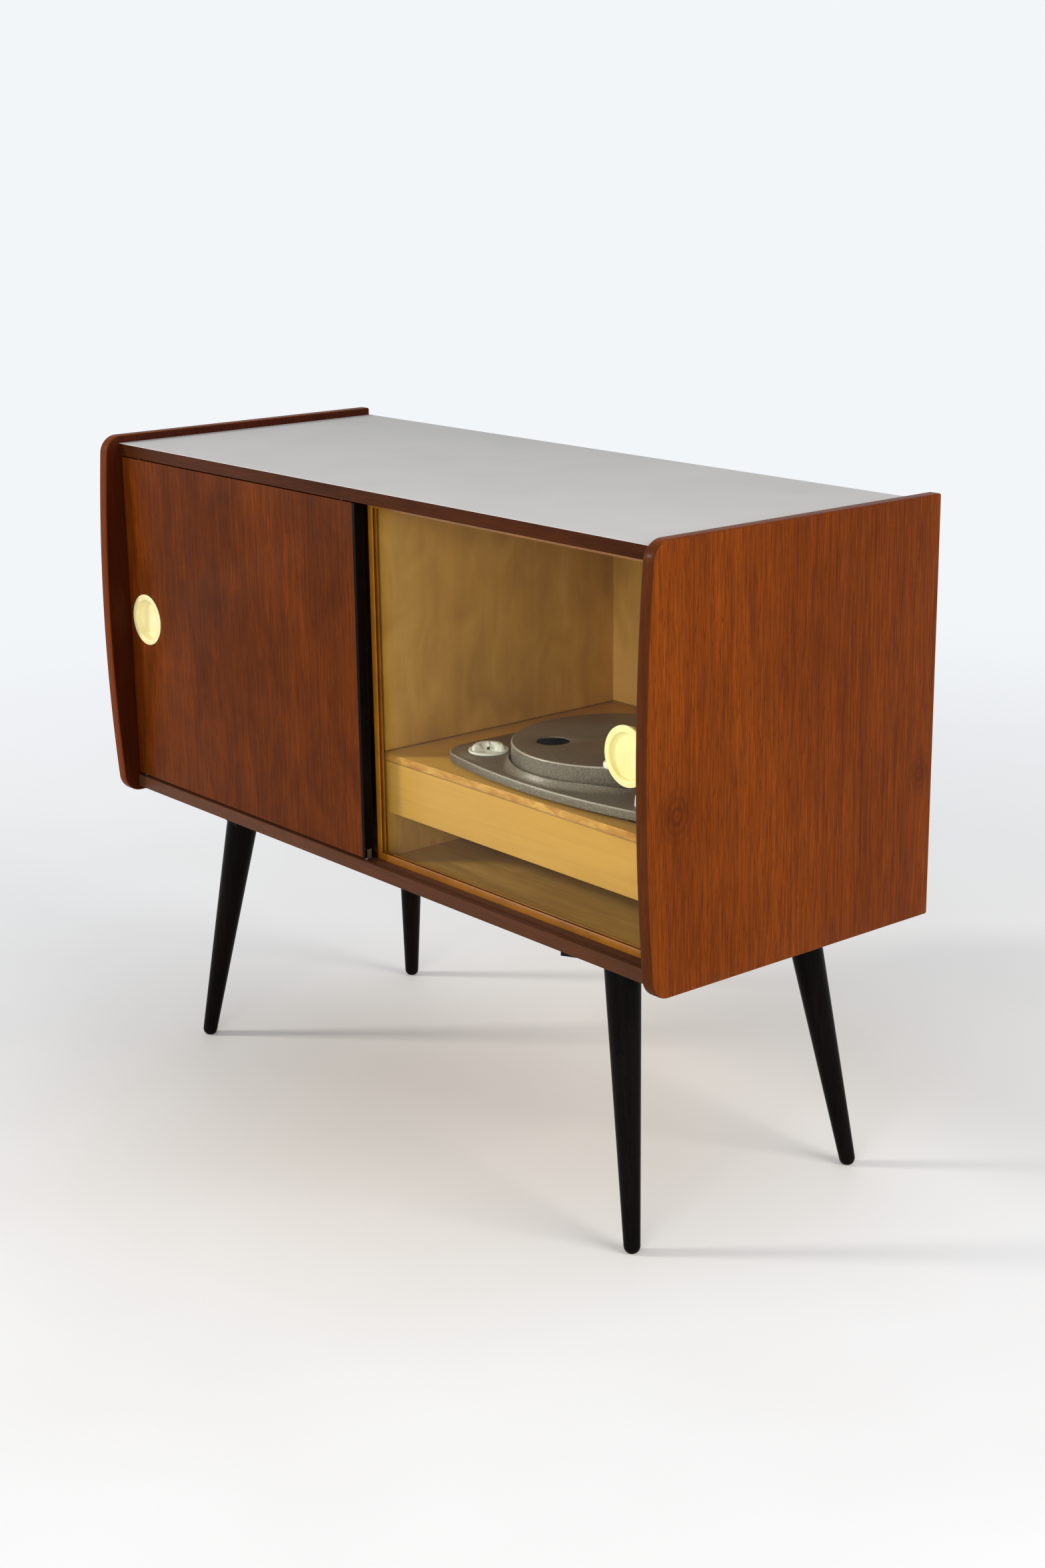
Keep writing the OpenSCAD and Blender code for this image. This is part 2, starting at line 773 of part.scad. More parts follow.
module glass_pull() {
    color("khaki") translate([glass_pull_x, pane_y, glass_pull_z])
        rotate([90, 0, 0]) cup_pull(glass_cup_d, glass_cup_h, glass_flange_t, glass_floor_t);
}

module glass_pull_ring() {
    color("khaki") translate([glass_pull_x, pane_y + glass_t, glass_pull_z])
        rotate([-90, 0, 0]) difference() {
            cylinder(d = ring_d, h = ring_t);
            translate([0, 0, -over]) cylinder(d = glass_cup_d + 2 * fit, h = ring_t + 2 * over);
        }
}

// ---- player: base and platter ----

bearing_d = 14;     // over the bearing's housing
port_hole_d = 16;   // of the hole in the base for the motor's boss
boss_flat = 2;      // width of the boss's flat top round the dish
bush_h = 5;         // of the bolts' bushes under the base
bush_wall = 2.5;
shaft_room = 1;     // round the knob's shaft
arm_neck_d = swing_d + 6;   // of the post's neck in the base

// The base's outline, moved in by a distance
module base_outline(inset) {
    r = base_r - inset;
    bow = base_bow_r - inset;
    c = [spin_x, base_y + base_bow_r];
    half = base_w / 2 - base_r;
    fall = sqrt(pow(base_bow_r - base_r, 2) - half * half);
    turn = atan2(half, fall);
    back = base_y + base_d - base_r;
    polygon(concat(
        arc(c, bow, 270 - turn, 270 + turn, 16),
        arc(c + [half, -fall], r, 270 + turn, 360, 8),
        arc([spin_x + half, back], r, 0, 90, 8),
        arc([spin_x - half, back], r, 90, 180, 8),
        arc(c + [-half, -fall], r, 180, 270 - turn, 8)));
}

// The base's whole form, smaller by a distance; its inside is the same form, smaller by the sheet
module base_form(inset, low) {
    hull() {
        translate([0, 0, low]) linear_extrude(base_top - base_edge - low) base_outline(inset);
        for (a = [30 : 30 : 90])
            translate([0, 0, base_top - inset - base_edge + base_edge * sin(a) - fine])
                linear_extrude(fine) base_outline(inset + base_edge * (1 - cos(a)));
    }
    difference() {
        hull() {
            rod(dish_xy[0], dish_xy[1], boss_top - inset - fine, boss_top - inset,
                dish_d + 2 * (boss_flat - inset));
            translate([0, 0, base_top - inset - fine]) linear_extrude(fine) intersection() {
                base_outline(inset + base_edge);
                translate(dish_xy) circle(r = boss_reach - inset);
            }
        }
        rod(spin_x, spin_y, base_low, boss_top + over, 2 * (well_r + inset));
    }
}

// Raised ring round the platter, hollow on its outer face
module collar() {
    translate([spin_x, spin_y, base_top - sheet_t]) rotate_extrude($fn = 128) polygon(concat(
        [[well_r, 0], [well_r + collar_w, 0]],
        [for (t = [0 : 0.125 : 1])
            [well_r + sheet_t + (collar_w - sheet_t) * (1 - t), sheet_t + collar_h * t * t]],
        [[well_r, sheet_t + collar_h]]));
}

module player_base() {
    color([0.42, 0.38, 0.33]) difference() {
        union() {
            difference() {
                base_form(0, base_low);
                base_form(sheet_t, base_low - over);
            }
            intersection() {
                collar();
                linear_extrude(top_z) base_outline(base_edge);
            }
            for (p = mount_xy)
                rod(p[0], p[1], base_under - bush_h, base_top - sheet_t / 2, bolt_d + 2 * bush_wall);
        }
        rod(dish_xy[0], dish_xy[1], base_low - over, boss_top + collar_h, dish_d - 2 * dish_lip + 2 * fit);
        rod(dish_xy[0], dish_xy[1], boss_top - fine, boss_top + collar_h, dish_d + 2 * fit);
        rod(spin_x, spin_y, base_low, base_top + over, bearing_d + 2 * fit);
        rod(motor_xy[0], motor_xy[1], base_low, base_top + over, port_hole_d);
        rod(knob_xy[0], knob_xy[1], base_low, base_top + over, knob_shaft_d + 2 * shaft_room);
        rod(arm_xy[0], arm_xy[1], base_low, base_top + over, arm_neck_d);
        for (p = mount_xy) rod(p[0], p[1], base_low - over, base_under, bolt_d + 2 * fit);
    }
}

module player_mounts() {
    color("dimgray")
        for (p = mount_xy) difference() {
            rod(p[0], p[1], deck_top, base_under - bush_h, mount_d);
            rod(p[0], p[1], deck_top - over, base_under, bolt_d + 2 * fit);
        }
}

bolt_head_h = 3;
bolt_head_d = bolt_d + 4;

module player_bolts() {
    color("silver")
        for (p = mount_xy) {
            rod(p[0], p[1], deck_low - bolt_head_h, deck_low, bolt_head_d);
            rod(p[0], p[1], deck_low, base_under - fit, bolt_d);
        }
}

step_r = spindle_d / 2 + 1;     // of the spindle's shoulder in the platter's bore

module platter() {
    r = platter_r;
    rise = platter_h;
    color([0.36, 0.33, 0.29]) translate([spin_x, spin_y, platter_low]) difference() {
        rotate_extrude($fn = 128) polygon(concat(
            [[r - platter_t, 0], [r, 0]],
            arc([r - platter_edge, rise - platter_edge], platter_edge, 0, 90, 6),
            [[0, rise], [0, rise - platter_t]],
            arc([r - platter_edge, rise - platter_edge], platter_edge - platter_t, 90, 0, 6)));
        rotate([0, 0, port_a]) translate([port_r, 0, 0]) cylinder(d = port_d, h = rise + over);
        cylinder(r = step_r + fit, h = rise + over);
    }
}

hub_d = 30;         // of the flange under the platter
hub_t = 3;          // of that flange
shaft_l = 26;       // length of the spindle in its bearing

// Spindle with its hub, seen from the middle of the platter's underside
module spindle() {
    under = platter_top - platter_t;
    tip = spindle_d / 4;
    color("silver") translate([spin_x, spin_y, under]) rotate_extrude() polygon(concat(
        [[0, -hub_t - shaft_l], [spindle_d / 2, -hub_t - shaft_l], [spindle_d / 2, -hub_t],
         [hub_d / 2, -hub_t],
         [hub_d / 2, 0], [step_r, 0], [step_r, platter_t], [spindle_d / 2, platter_t]],
        arc([spindle_d / 2 - tip, platter_t + spindle_up - tip], tip, 0, 90, 5),
        [[0, platter_t + spindle_up]]));
}

bearing_floor = 3;  // under the spindle's end
bearing_flange_d = 28;
bearing_flange_t = 2;

module platter_bearing() {
    top = platter_top - platter_t - hub_t - 2 * fit;
    bottom = platter_top - platter_t - hub_t - shaft_l - fit - bearing_floor;
    color("goldenrod") difference() {
        union() {
            rod(spin_x, spin_y, bottom, top, bearing_d);
            rod(spin_x, spin_y, base_top, base_top + bearing_flange_t, bearing_flange_d);
        }
        rod(spin_x, spin_y, bottom + bearing_floor, top + over, spindle_d + 2 * run);
    }
}

// ---- player: adapter, drive and knob ----

dish_rim = 1;       // height of the dish's rim above the boss
dish_wall = 1.2;
dish_lip = 0.8;     // how far the rim reaches over the boss
dish_taper = 3;     // how much narrower the dish is at its floor, on the radius
puck_bore = 7.3;    // for a record player's spindle
puck_hub_d = 15;
puck_a = 20;        // direction of the first wing
wing_root = 2;      // distance of a wing's inner edge from the axis
hub_rise = 1;       // how far the hub stands above the wings

module adapter_dish() {
    r = dish_d / 2;
    neck = r - dish_lip;
    floor_h = dish_rim - dish_h;
    color("ivory") translate([dish_xy[0], dish_xy[1], boss_top]) rotate_extrude() polygon([
        [0, floor_h - dish_wall], [neck - dish_taper, floor_h - dish_wall], [neck, floor_h + dish_taper],
        [neck, 0],
        [r, 0], [r, dish_rim], [neck - dish_wall, dish_rim], [neck - dish_wall, floor_h + dish_taper],
        [neck - dish_wall - dish_taper, floor_h], [0, floor_h]]);
}

// Hub with three wings that rest on the dish's taper
module adapter_puck() {
    foot = boss_top + dish_rim - dish_h + fit;
    reach = dish_d / 2 - dish_lip - dish_wall - puck_play;
    wing_d = reach - wing_root;
    color("ivory") translate([dish_xy[0], dish_xy[1], foot]) difference() {
        union() {
            cylinder(d = puck_hub_d, h = puck_h);
            for (a = [0 : 120 : 240])
                rotate([0, 0, puck_a + a]) translate([reach - wing_d / 2, 0, dish_taper])
                    cylinder(d = wing_d, h = puck_h - dish_taper - hub_rise);
        }
        translate([0, 0, -over]) cylinder(d = puck_bore, h = puck_h + 2 * over);
    }
}

motor_top = base_under - motor_mount_h;
motor_shaft_d = 4;
motor_floor = 4;                // under the shaft's end
motor_boss_h = 4;
motor_boss_d = port_hole_d - 2;
motor_mount_d = 10;
motor_mount_in = 6;             // distance of the mounts from the case's edge

module motor() {
    color("gray") difference() {
        union() {
            rod(motor_xy[0], motor_xy[1], motor_top - motor_h, motor_top, motor_d);
            rod(motor_xy[0], motor_xy[1], motor_top, motor_top + motor_boss_h, motor_boss_d);
        }
        rod(motor_xy[0], motor_xy[1], motor_top - motor_h + motor_floor, motor_top + motor_boss_h + over,
            motor_shaft_d + 2 * run);
    }
}

module motor_mounts() {
    r = motor_d / 2 - motor_mount_in;
    color("dimgray")
        for (a = [30 : 120 : 270])
            rod(motor_xy[0] + r * cos(a), motor_xy[1] + r * sin(a), motor_top, base_under, motor_mount_d);
}

wheel_z = base_top + idler_z;

wheel_room = 1;     // of a step below and above the wheel
step_fall = 1;      // how much smaller the second step is, on the radius

// Shaft with a step for each speed
module motor_pulley() {
    step_h = tyre_h / 2 + wheel_room;
    base = wheel_z - wheel_room;
    color("goldenrod") {
        rod(motor_xy[0], motor_xy[1], motor_top - motor_h + motor_floor + fit, base, motor_shaft_d);
        rod(motor_xy[0], motor_xy[1], base, base + 2 * step_h, pulley_d);
        rod(motor_xy[0], motor_xy[1], base + 2 * step_h, base + 3 * step_h, pulley_d - 2 * step_fall);
    }
}

idler_pin_d = 3;
hub_h = tyre_h + 3;
pillar_d = 8;       // of the bracket's pillar under the wheel
pillar_gap = 2;     // between the pillar and the wheel
hub_drop = 1.5;     // how far the wheel's hub reaches below it
hub_low = 2;        // how far the hub's top is below the pin's
wheel_hub_d = 10;
tyre_w = 4;
bracket_w = 12;
bracket_l = 24;
bracket_t = 2;

module idler_bracket() {
    color("silver") {
        rod(idler_xy[0], idler_xy[1], base_top, base_top + idler_z - pillar_gap, pillar_d);
        rod(idler_xy[0], idler_xy[1], base_top, wheel_z + hub_h, idler_pin_d);
        translate([idler_xy[0], idler_xy[1], base_top]) rotate([0, 0, idler_a + 180])
            translate([0, -bracket_w / 2, 0]) cube([bracket_l, bracket_w, bracket_t]);
    }
}

module idler_hub() {
    color("goldenrod") difference() {
        union() {
            rod(idler_xy[0], idler_xy[1], wheel_z - hub_drop, wheel_z + hub_h - hub_low, wheel_hub_d);
            rod(idler_xy[0], idler_xy[1], wheel_z, wheel_z + tyre_h, idler_d - 2 * tyre_w);
        }
        rod(idler_xy[0], idler_xy[1], wheel_z - pillar_gap, wheel_z + hub_h, idler_pin_d + 2 * run);
    }
}

module idler_tyre() {
    color("black") difference() {
        rod(idler_xy[0], idler_xy[1], wheel_z, wheel_z + tyre_h, idler_d);
        rod(idler_xy[0], idler_xy[1], wheel_z - over, wheel_z + tyre_h + over, idler_d - 2 * tyre_w);
    }
}

knob_gap = 0.6;     // under the knob
switch_floor = 3;   // under the knob's shaft
knob_slope = 2;     // height and width of the knob's sloped edge
mark_in = 3;        // distance of the pointer's ends from the knob's edge
mark_w = 2;
mark_h = 1.5;

module speed_knob() {
    color("ivory") {
        rod(knob_xy[0], knob_xy[1], base_top + knob_gap, base_top + knob_gap + knob_h - knob_slope, knob_d);
        translate([knob_xy[0], knob_xy[1], base_top + knob_gap + knob_h - knob_slope])
            cylinder(d1 = knob_d, d2 = knob_d - 2 * knob_slope, h = knob_slope);
        rod(knob_xy[0], knob_xy[1], base_under - switch_h + switch_floor, base_top + knob_gap, knob_shaft_d);
        translate([knob_xy[0], knob_xy[1], base_top + knob_gap + knob_h])
            rotate([0, 0, 90]) translate([mark_in - knob_d / 2, -mark_w / 2, -over])
                cube([knob_d - 2 * mark_in, mark_w, over + mark_h]);
    }
}

module speed_switch() {
    color("gray") difference() {
        rod(knob_xy[0], knob_xy[1], base_under - switch_h, base_under, switch_d);
        rod(knob_xy[0], knob_xy[1], base_under - switch_h + switch_floor - fit, base_under + over,
            knob_shaft_d + 2 * run);
    }
}

// ---- player: tonearm ----

tube_z = base_top + arm_z;
post_drop = 11;     // of the post's top below the tube
post_top = tube_z - post_drop;
post_foot_h = 3;
post_foot_d = post_d + 6;
yoke_gap = 0.3;     // between the post and the yoke's plate
yoke_low = 3;       // height of the plate's top above the post
swing_root = 12;    // depth of the yoke's shaft below the base
swing_floor = 2;    // under the shaft's end
ear_in = 7;         // half of the room between the yoke's ears
ear_t = 3;          // of those ears
ear_h = 13;
block_l = 12;       // length of the pivot block
block_play = 0.4;   // between the block and the ears
block_cut = 1;      // how much lower the block is than long
socket = 2;         // depth of the tube's and the stem's sockets in the block

tube_in_head = 12;  // length of the tube in the head
head_wall = 2;      // beside the pocket that holds the cartridge
pocket_h = 2;
pocket_back = 13.5; // reach of that pocket behind the stylus
pocket_l = 18.5;

module at_arm(z) {
    translate([arm_xy[0], arm_xy[1], z]) rotate([0, 0, arm_a]) children();
}

module arm_post() {
    color("gray") difference() {
        union() {
            rod(arm_xy[0], arm_xy[1], base_top, base_top + post_foot_h, post_foot_d);
            rod(arm_xy[0], arm_xy[1], base_top, post_top, post_d);
            rod(arm_xy[0], arm_xy[1], base_under - swing_root - swing_floor, base_top, arm_neck_d - 2 * fit);
        }
        rod(arm_xy[0], arm_xy[1], base_under - swing_root, post_top + over, swing_d + 2 * run);
    }
}

module arm_yoke() {
    color("silver") {
        rod(arm_xy[0], arm_xy[1], base_under - swing_root + fit, post_top + yoke_gap, swing_d);
        rod(arm_xy[0], arm_xy[1], post_top + yoke_gap, post_top + yoke_low, post_d);
        at_arm(post_top + yoke_low - over) intersection() {
            cylinder(d = post_d, h = ear_h);
            union() for (s = [-1, 1])
                translate([-post_d / 2, s * (ear_in + ear_t / 2) - ear_t / 2, 0])
                    cube([post_d, ear_t, ear_h]);
        }
        at_arm(tube_z) translate([0, -ear_in - over, 0])
            rotate([-90, 0, 0]) cylinder(d = lift_d, h = 2 * (ear_in + over));
    }
}

module arm_block() {
    color("silver") at_arm(tube_z) difference() {
        translate([-block_l / 2, -ear_in + block_play, -block_l / 2 + block_cut])
            cube([block_l, 2 * (ear_in - block_play), block_l - block_cut]);
        translate([0, -ear_in, 0]) rotate([-90, 0, 0]) cylinder(d = lift_d + 2 * run, h = 2 * ear_in);
        translate([block_l / 2 - socket, 0, 0]) rotate([0, 90, 0])
            cylinder(d = tube_d + 2 * fit, h = socket + over);
        translate([-block_l / 2 - over, 0, 0]) rotate([0, 90, 0])
            cylinder(d = tube_d / 2 + 2 * fit, h = socket + over);
    }
}

module arm_tube() {
    color("silver") at_arm(tube_z)
        translate([block_l / 2 - socket + fit, 0, 0]) rotate([0, 90, 0])
            cylinder(d = tube_d, h = arm_l - head_back + tube_in_head - block_l / 2 + socket);
}

module arm_head() {
    tail = arm_l - head_back;
    nose = arm_l + nose_l - head_w / 2;
    color("ivory") at_arm(tube_z) difference() {
        translate([0, 0, -head_h / 2]) linear_extrude(head_h) {
            translate([tail, -head_w / 2]) square([nose - tail, head_w]);
            translate([nose, 0]) circle(d = head_w);
        }
        translate([tail - over, 0, 0]) rotate([0, 90, 0])
            cylinder(d = tube_d + 2 * fit, h = tube_in_head + 1 + over);
        translate([arm_l - pocket_back, head_wall - head_w / 2, -head_h / 2 - over])
            cube([pocket_l, head_w - 2 * head_wall, over + pocket_h]);
    }
}

record_t = 2;       // thickness of a record
stylus_z = platter_top + record_t - tube_z;    // measured from the tube
body_l = 17;        // of the cartridge
body_h = 7;
body_back = 12.5;   // its reach behind the stylus
body_play = 0.2;    // between it and the pocket's walls
tip_d = 0.6;        // of the stylus
root_d = 3;

module cartridge() {
    top = -head_h / 2 + pocket_h;
    half = head_w / 2 - head_wall - body_play;
    color("dimgray") at_arm(tube_z) {
        translate([arm_l - body_back, -half, top - body_h]) cube([body_l, 2 * half, body_h]);
        translate([arm_l, 0, stylus_z]) cylinder(d1 = tip_d, d2 = root_d, h = top - body_h - stylus_z + fine);
    }
}

stem = 10;          // between the block and the counterweight, less half a block

module counterweight() {
    color("gray") at_arm(tube_z) rotate([0, -90, 0]) {
        translate([0, 0, block_l / 2 - socket + fit]) cylinder(d = tube_d / 2, h = stem + block_l + fine);
        translate([0, 0, block_l + stem]) cylinder(d = weight_d, h = weight_l);
    }
}

rest_gap = 0.3;     // between the arm's tube and its rest
rest_w = 6;
rest_t = 3;         // of the rest's seat and ear
rest_ear_h = 9;

// Post with a flat top under the tube and an ear on the outer side
module arm_rest() {
    low = tube_z - tube_d / 2 - rest_gap - rest_t;
    color("ivory") at_arm(0) translate([rest_l, 0, 0]) {
        translate([0, 0, base_top]) cylinder(d = rest_w, h = low - base_top);
        translate([-rest_w / 2, -tube_d / 2, low]) cube([rest_w, tube_d + rest_gap + rest_t, rest_t]);
        translate([-rest_w / 2, tube_d / 2 + rest_gap, low]) cube([rest_w, rest_t, rest_ear_h]);
    }
}

side_left();
side_right();
top_panel();
bottom_panel();
divider();
back_panel();
dowels();
back_screws();
lead_grommet();
deck_board();
deck_fascia();
deck_cleat_left();
deck_cleat_right();
deck_cleat_back();
leg_block_fl();
leg_block_fr();
leg_block_bl();
leg_block_br();
leg_fl();
leg_fr();
leg_bl();
leg_br();
leg_studs();
block_screws();
wood_door();
wood_pull();
door_glides();
door_top_pins();
glass_pane();
trim_left();
trim_right();
trim_bottom();
trim_top();
glass_pull();
glass_pull_ring();
player_base();
player_mounts();
player_bolts();
platter();
spindle();
platter_bearing();
adapter_dish();
adapter_puck();
motor();
motor_mounts();
motor_pulley();
idler_bracket();
idler_hub();
idler_tyre();
speed_knob();
speed_switch();
arm_post();
arm_rest();
arm_yoke();
arm_block();
arm_tube();
arm_head();
cartridge();
counterweight();
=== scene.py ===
# %% [markdown]
# # Dressing a cabinet with a record player
# The solids of the cabinet are already built and packed. This lesson loads them as a fixed frame,
# rounds and refines the pieces that the eye meets first, and gives every piece a finish. Nothing
# here changes a size: a piece that stands for a solid keeps its place and reach.

# %% Load the frame
import json
import math

import bmesh
import bpy
from mathutils import Matrix, Vector

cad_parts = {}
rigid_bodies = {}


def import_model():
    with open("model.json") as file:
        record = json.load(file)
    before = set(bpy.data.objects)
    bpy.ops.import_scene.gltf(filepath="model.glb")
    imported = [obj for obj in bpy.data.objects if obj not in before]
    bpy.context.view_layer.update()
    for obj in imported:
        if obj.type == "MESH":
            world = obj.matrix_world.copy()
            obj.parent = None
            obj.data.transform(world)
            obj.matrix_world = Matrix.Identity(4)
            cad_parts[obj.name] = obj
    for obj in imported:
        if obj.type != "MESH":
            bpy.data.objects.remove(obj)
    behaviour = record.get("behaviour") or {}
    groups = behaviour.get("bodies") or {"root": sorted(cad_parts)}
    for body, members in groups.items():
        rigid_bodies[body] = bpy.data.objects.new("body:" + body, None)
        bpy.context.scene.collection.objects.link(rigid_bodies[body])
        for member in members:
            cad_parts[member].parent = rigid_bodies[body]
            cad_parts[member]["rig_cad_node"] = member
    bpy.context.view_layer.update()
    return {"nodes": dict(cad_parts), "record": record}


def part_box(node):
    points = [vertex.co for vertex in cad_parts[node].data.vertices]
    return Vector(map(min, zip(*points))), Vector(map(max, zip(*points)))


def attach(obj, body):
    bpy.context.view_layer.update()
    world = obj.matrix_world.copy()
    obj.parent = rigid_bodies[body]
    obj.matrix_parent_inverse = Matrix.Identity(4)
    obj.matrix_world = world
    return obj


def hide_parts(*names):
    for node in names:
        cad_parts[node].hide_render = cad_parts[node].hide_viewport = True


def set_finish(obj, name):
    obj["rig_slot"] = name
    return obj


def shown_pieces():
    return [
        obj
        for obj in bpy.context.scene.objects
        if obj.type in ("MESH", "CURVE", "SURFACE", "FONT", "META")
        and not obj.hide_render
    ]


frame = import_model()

nodes = frame["nodes"]

# %% [markdown]
# ## The camera
# The camera stands where the photographer stood: to the right of the cabinet's front and a little
# above it. Its place comes from a fit to the corners of the cabinet. The picture is 1568 by 2352
# pixels, and the long side carries the sensor's width.

# %% Camera
PICTURE_HIGH = 2352  # pixels
FOCAL_PIXELS = 3590.56
SENSOR = 36  # millimetres
CAMERA_PLACE = (2.0918, -1.6691, 1.1666)
azimuth, elevation, roll = (math.radians(a) for a in (50.452, 16.057, -0.755))

forward = Vector((-math.sin(azimuth) * math.cos(elevation),
                  math.cos(azimuth) * math.cos(elevation), -math.sin(elevation)))
level = Vector((math.cos(azimuth), math.sin(azimuth), 0))
upright = level.cross(forward)
side = level * math.cos(roll) + upright * math.sin(roll)
top = upright * math.cos(roll) - level * math.sin(roll)

camera_data = bpy.data.cameras.new("camera")
camera_data.sensor_width = SENSOR
camera_data.lens = FOCAL_PIXELS / PICTURE_HIGH * SENSOR
camera = bpy.data.objects.new("camera", camera_data)
bpy.context.collection.objects.link(camera)
pointing = Matrix((side, top, -forward)).transposed().to_4x4()
camera.matrix_world = Matrix.Translation(CAMERA_PLACE) @ pointing
bpy.context.scene.camera = camera
print("camera lens", round(camera_data.lens, 2), "mm")

# %% [markdown]
# ## Tools for the modelling
# Blender's operators act on what is selected, so each tool first makes one piece the only selected
# one. Faces, edges and points are picked by their place, as a hand would pick them on the screen.

# %% Modelling tools
MM = 0.001


def focus(piece):
    """Makes one piece the only one that the next operators act on."""
    if bpy.context.object and bpy.context.object.mode != "OBJECT":
        bpy.ops.object.mode_set(mode="OBJECT")
    bpy.ops.object.select_all(action="DESELECT")
    piece.select_set(True)
    bpy.context.view_layer.objects.active = piece


def edit(piece, kind="VERT"):
    """Opens a piece in edit mode with nothing selected."""
    focus(piece)
    bpy.ops.object.mode_set(mode="EDIT")
    bpy.ops.mesh.select_mode(type=kind)
    bpy.ops.mesh.select_all(action="DESELECT")


def close():
    """Leaves edit mode."""
    bpy.ops.object.mode_set(mode="OBJECT")


def select_all():
    bpy.ops.mesh.select_all(action="SELECT")


def apply_place():
    """Moves a piece's place, turn and size into its mesh."""
    bpy.ops.object.transform_apply(location=True, rotation=True, scale=True)


def pick(kind, test):
    """Selects the points, edges or faces whose every corner passes a test of its place."""
    bpy.ops.mesh.select_mode(type=kind)
    bpy.ops.mesh.select_all(action="DESELECT")
    form = bmesh.from_edit_mesh(bpy.context.object.data)
    for item in {"VERT": form.verts, "EDGE": form.edges, "FACE": form.faces}[kind]:
        corners = [item] if kind == "VERT" else item.verts
        if all(test(v.co) for v in corners):
            item.select_set(True)
    bmesh.update_edit_mesh(bpy.context.object.data)


def modify(piece, kind, **settings):
    """Adds a modifier with its settings and applies it."""
    focus(piece)
    step = piece.modifiers.new(kind, kind)
    for key, value in settings.items():
        setattr(step, key, value)
    bpy.ops.object.modifier_apply(modifier=step.name)


def ease(piece, width, steps=3, crease=30):
    """Rounds every edge that is sharper than the crease angle. The width is in millimetres."""
    modify(piece, "BEVEL", width=width * MM, segments=steps, limit_method="ANGLE",
           angle_limit=math.radians(crease))


def deliver(piece, name, body, slot, *stands_for, crease=35):
    """Names a finished piece, smooths it, and puts it on its body in place of its solids."""
    focus(piece)
    apply_place()
    bpy.ops.object.shade_smooth_by_angle(angle=math.radians(crease))
    piece.name = piece.data.name = name
    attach(piece, body)
    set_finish(piece, slot)
    if stands_for:
        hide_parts(*stands_for)
    print(name, "has", len(piece.data.polygons), "faces, on", body)


# %% [markdown]
# ## Rounded copies
# Boards come off the saw with sharp edges and get them broken with sandpaper. Where a solid's
# shape is right but for that, a copy is taken, its loose triangles are merged into whole faces,
# and a bevel rounds its edges.

# %% Rounded copies of solids
WELD = 0.002 * MM  # points nearer than this become one
FLAT = math.radians(0.3)  # faces that meet at less than this become one
CORNERS = ("fl", "fr", "bl", "br")


def eased_copy(node, width, body, slot, steps=3):
    """Copies a solid and rounds its edges. The copy stands for the solid."""
    piece = bpy.data.objects.new(node + "_eased", nodes[node].data.copy())
    bpy.context.collection.objects.link(piece)
    piece.data.materials.clear()
    focus(piece)
    if piece.data.has_custom_normals:
        bpy.ops.mesh.customdata_custom_splitnormals_clear()
    edit(piece)
    select_all()
    bpy.ops.mesh.remove_doubles(threshold=WELD)
    bpy.ops.mesh.dissolve_limited(angle_limit=FLAT)
    close()
    ease(piece, width, steps)
    deliver(piece, node + "_eased", body, slot, node)


for node, width, slot in [("top_panel", 1.2, "veneer_top"), ("bottom_panel", 1.2, "veneer_top"),
                          ("divider", 1.0, "interior"), ("deck_board", 0.8, "deck_wood"),
                          ("deck_fascia", 0.8, "deck_wood")]:
    eased_copy(node, width, "cabinet", slot)
for corner in CORNERS:
    eased_copy("leg_block_" + corner, 1.2, "cabinet", "black_wood")
eased_copy("wood_door", 1.4, "wooden_door", "veneer")
for edge in ("left", "right", "bottom", "top"):
    eased_copy("trim_" + edge, 0.6, "glass_door", "amber_plastic")

# %% [markdown]
# ## The side panels
# Each side is one board whose front edge bows out and runs into rounded corners, with square
# corners at the back. A cube makes the board, a bevel makes the corners, cuts divide the front
# edge, and each cut's front points move back onto a shallow arc.

# %% Side panels
CORNER_R = 20 * MM
CORNER_STEPS = 10
BOW = 10.5 * MM  # from the ends of the front edge to its middle
CUTS = 24
SIDE_ROUND = 2.4  # millimetres


def block(low, high):
    """Draws a cube out to a box."""
    bpy.ops.mesh.primitive_cube_add(size=1, location=(low + high) / 2, scale=high - low)
    apply_place()
    return bpy.context.object


def side_panel(node):
    low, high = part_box(node)
    piece = block(low, high)
    edit(piece)
    for at_corner in (lambda p: p.z > high.z - MM, lambda p: p.z < low.z + MM):
        pick("EDGE", lambda p: p.y < 0 and at_corner(p))
        bpy.ops.mesh.bevel(offset=CORNER_R, segments=CORNER_STEPS, affect="EDGES")
    for cut in range(1, CUTS):
        select_all()
        height = low.z + CORNER_R + (high.z - low.z - 2 * CORNER_R) * cut / CUTS
        bpy.ops.mesh.bisect(plane_co=(0, 0, height), plane_no=(0, 0, 1))
    middle, half = (low.z + high.z) / 2, (high.z - low.z) / 2
    radius = (half * half + BOW * BOW) / (2 * BOW)
    form = bmesh.from_edit_mesh(piece.data)
    for height in sorted({round(v.co.z, 5) for v in form.verts if v.co.y < 0}):
        pick("VERT", lambda p: p.y < 0 and abs(p.z - height) < 0.02 * MM)
        back = radius - math.sqrt(radius * radius - (height - middle) ** 2)
        bpy.ops.transform.translate(value=(0, back, 0))
    close()
    ease(piece, SIDE_ROUND, steps=4, crease=40)
    deliver(piece, node + "_board", "cabinet", "veneer", node, crease=40)


side_panel("side_left")
side_panel("side_right")

# %% [markdown]
# ## Turned pieces
# The pulls, platter, dish and knob are round. Their profile is drawn as a chain of points, with its
# corners eased into small arcs, and spun round an axis like work on a lathe.

# %% The lathe
ROUND_STEPS = 5  # faces in each eased corner of a profile
SPUN_WELD = 0.01 * MM
SLIVER = 0.001 * MM


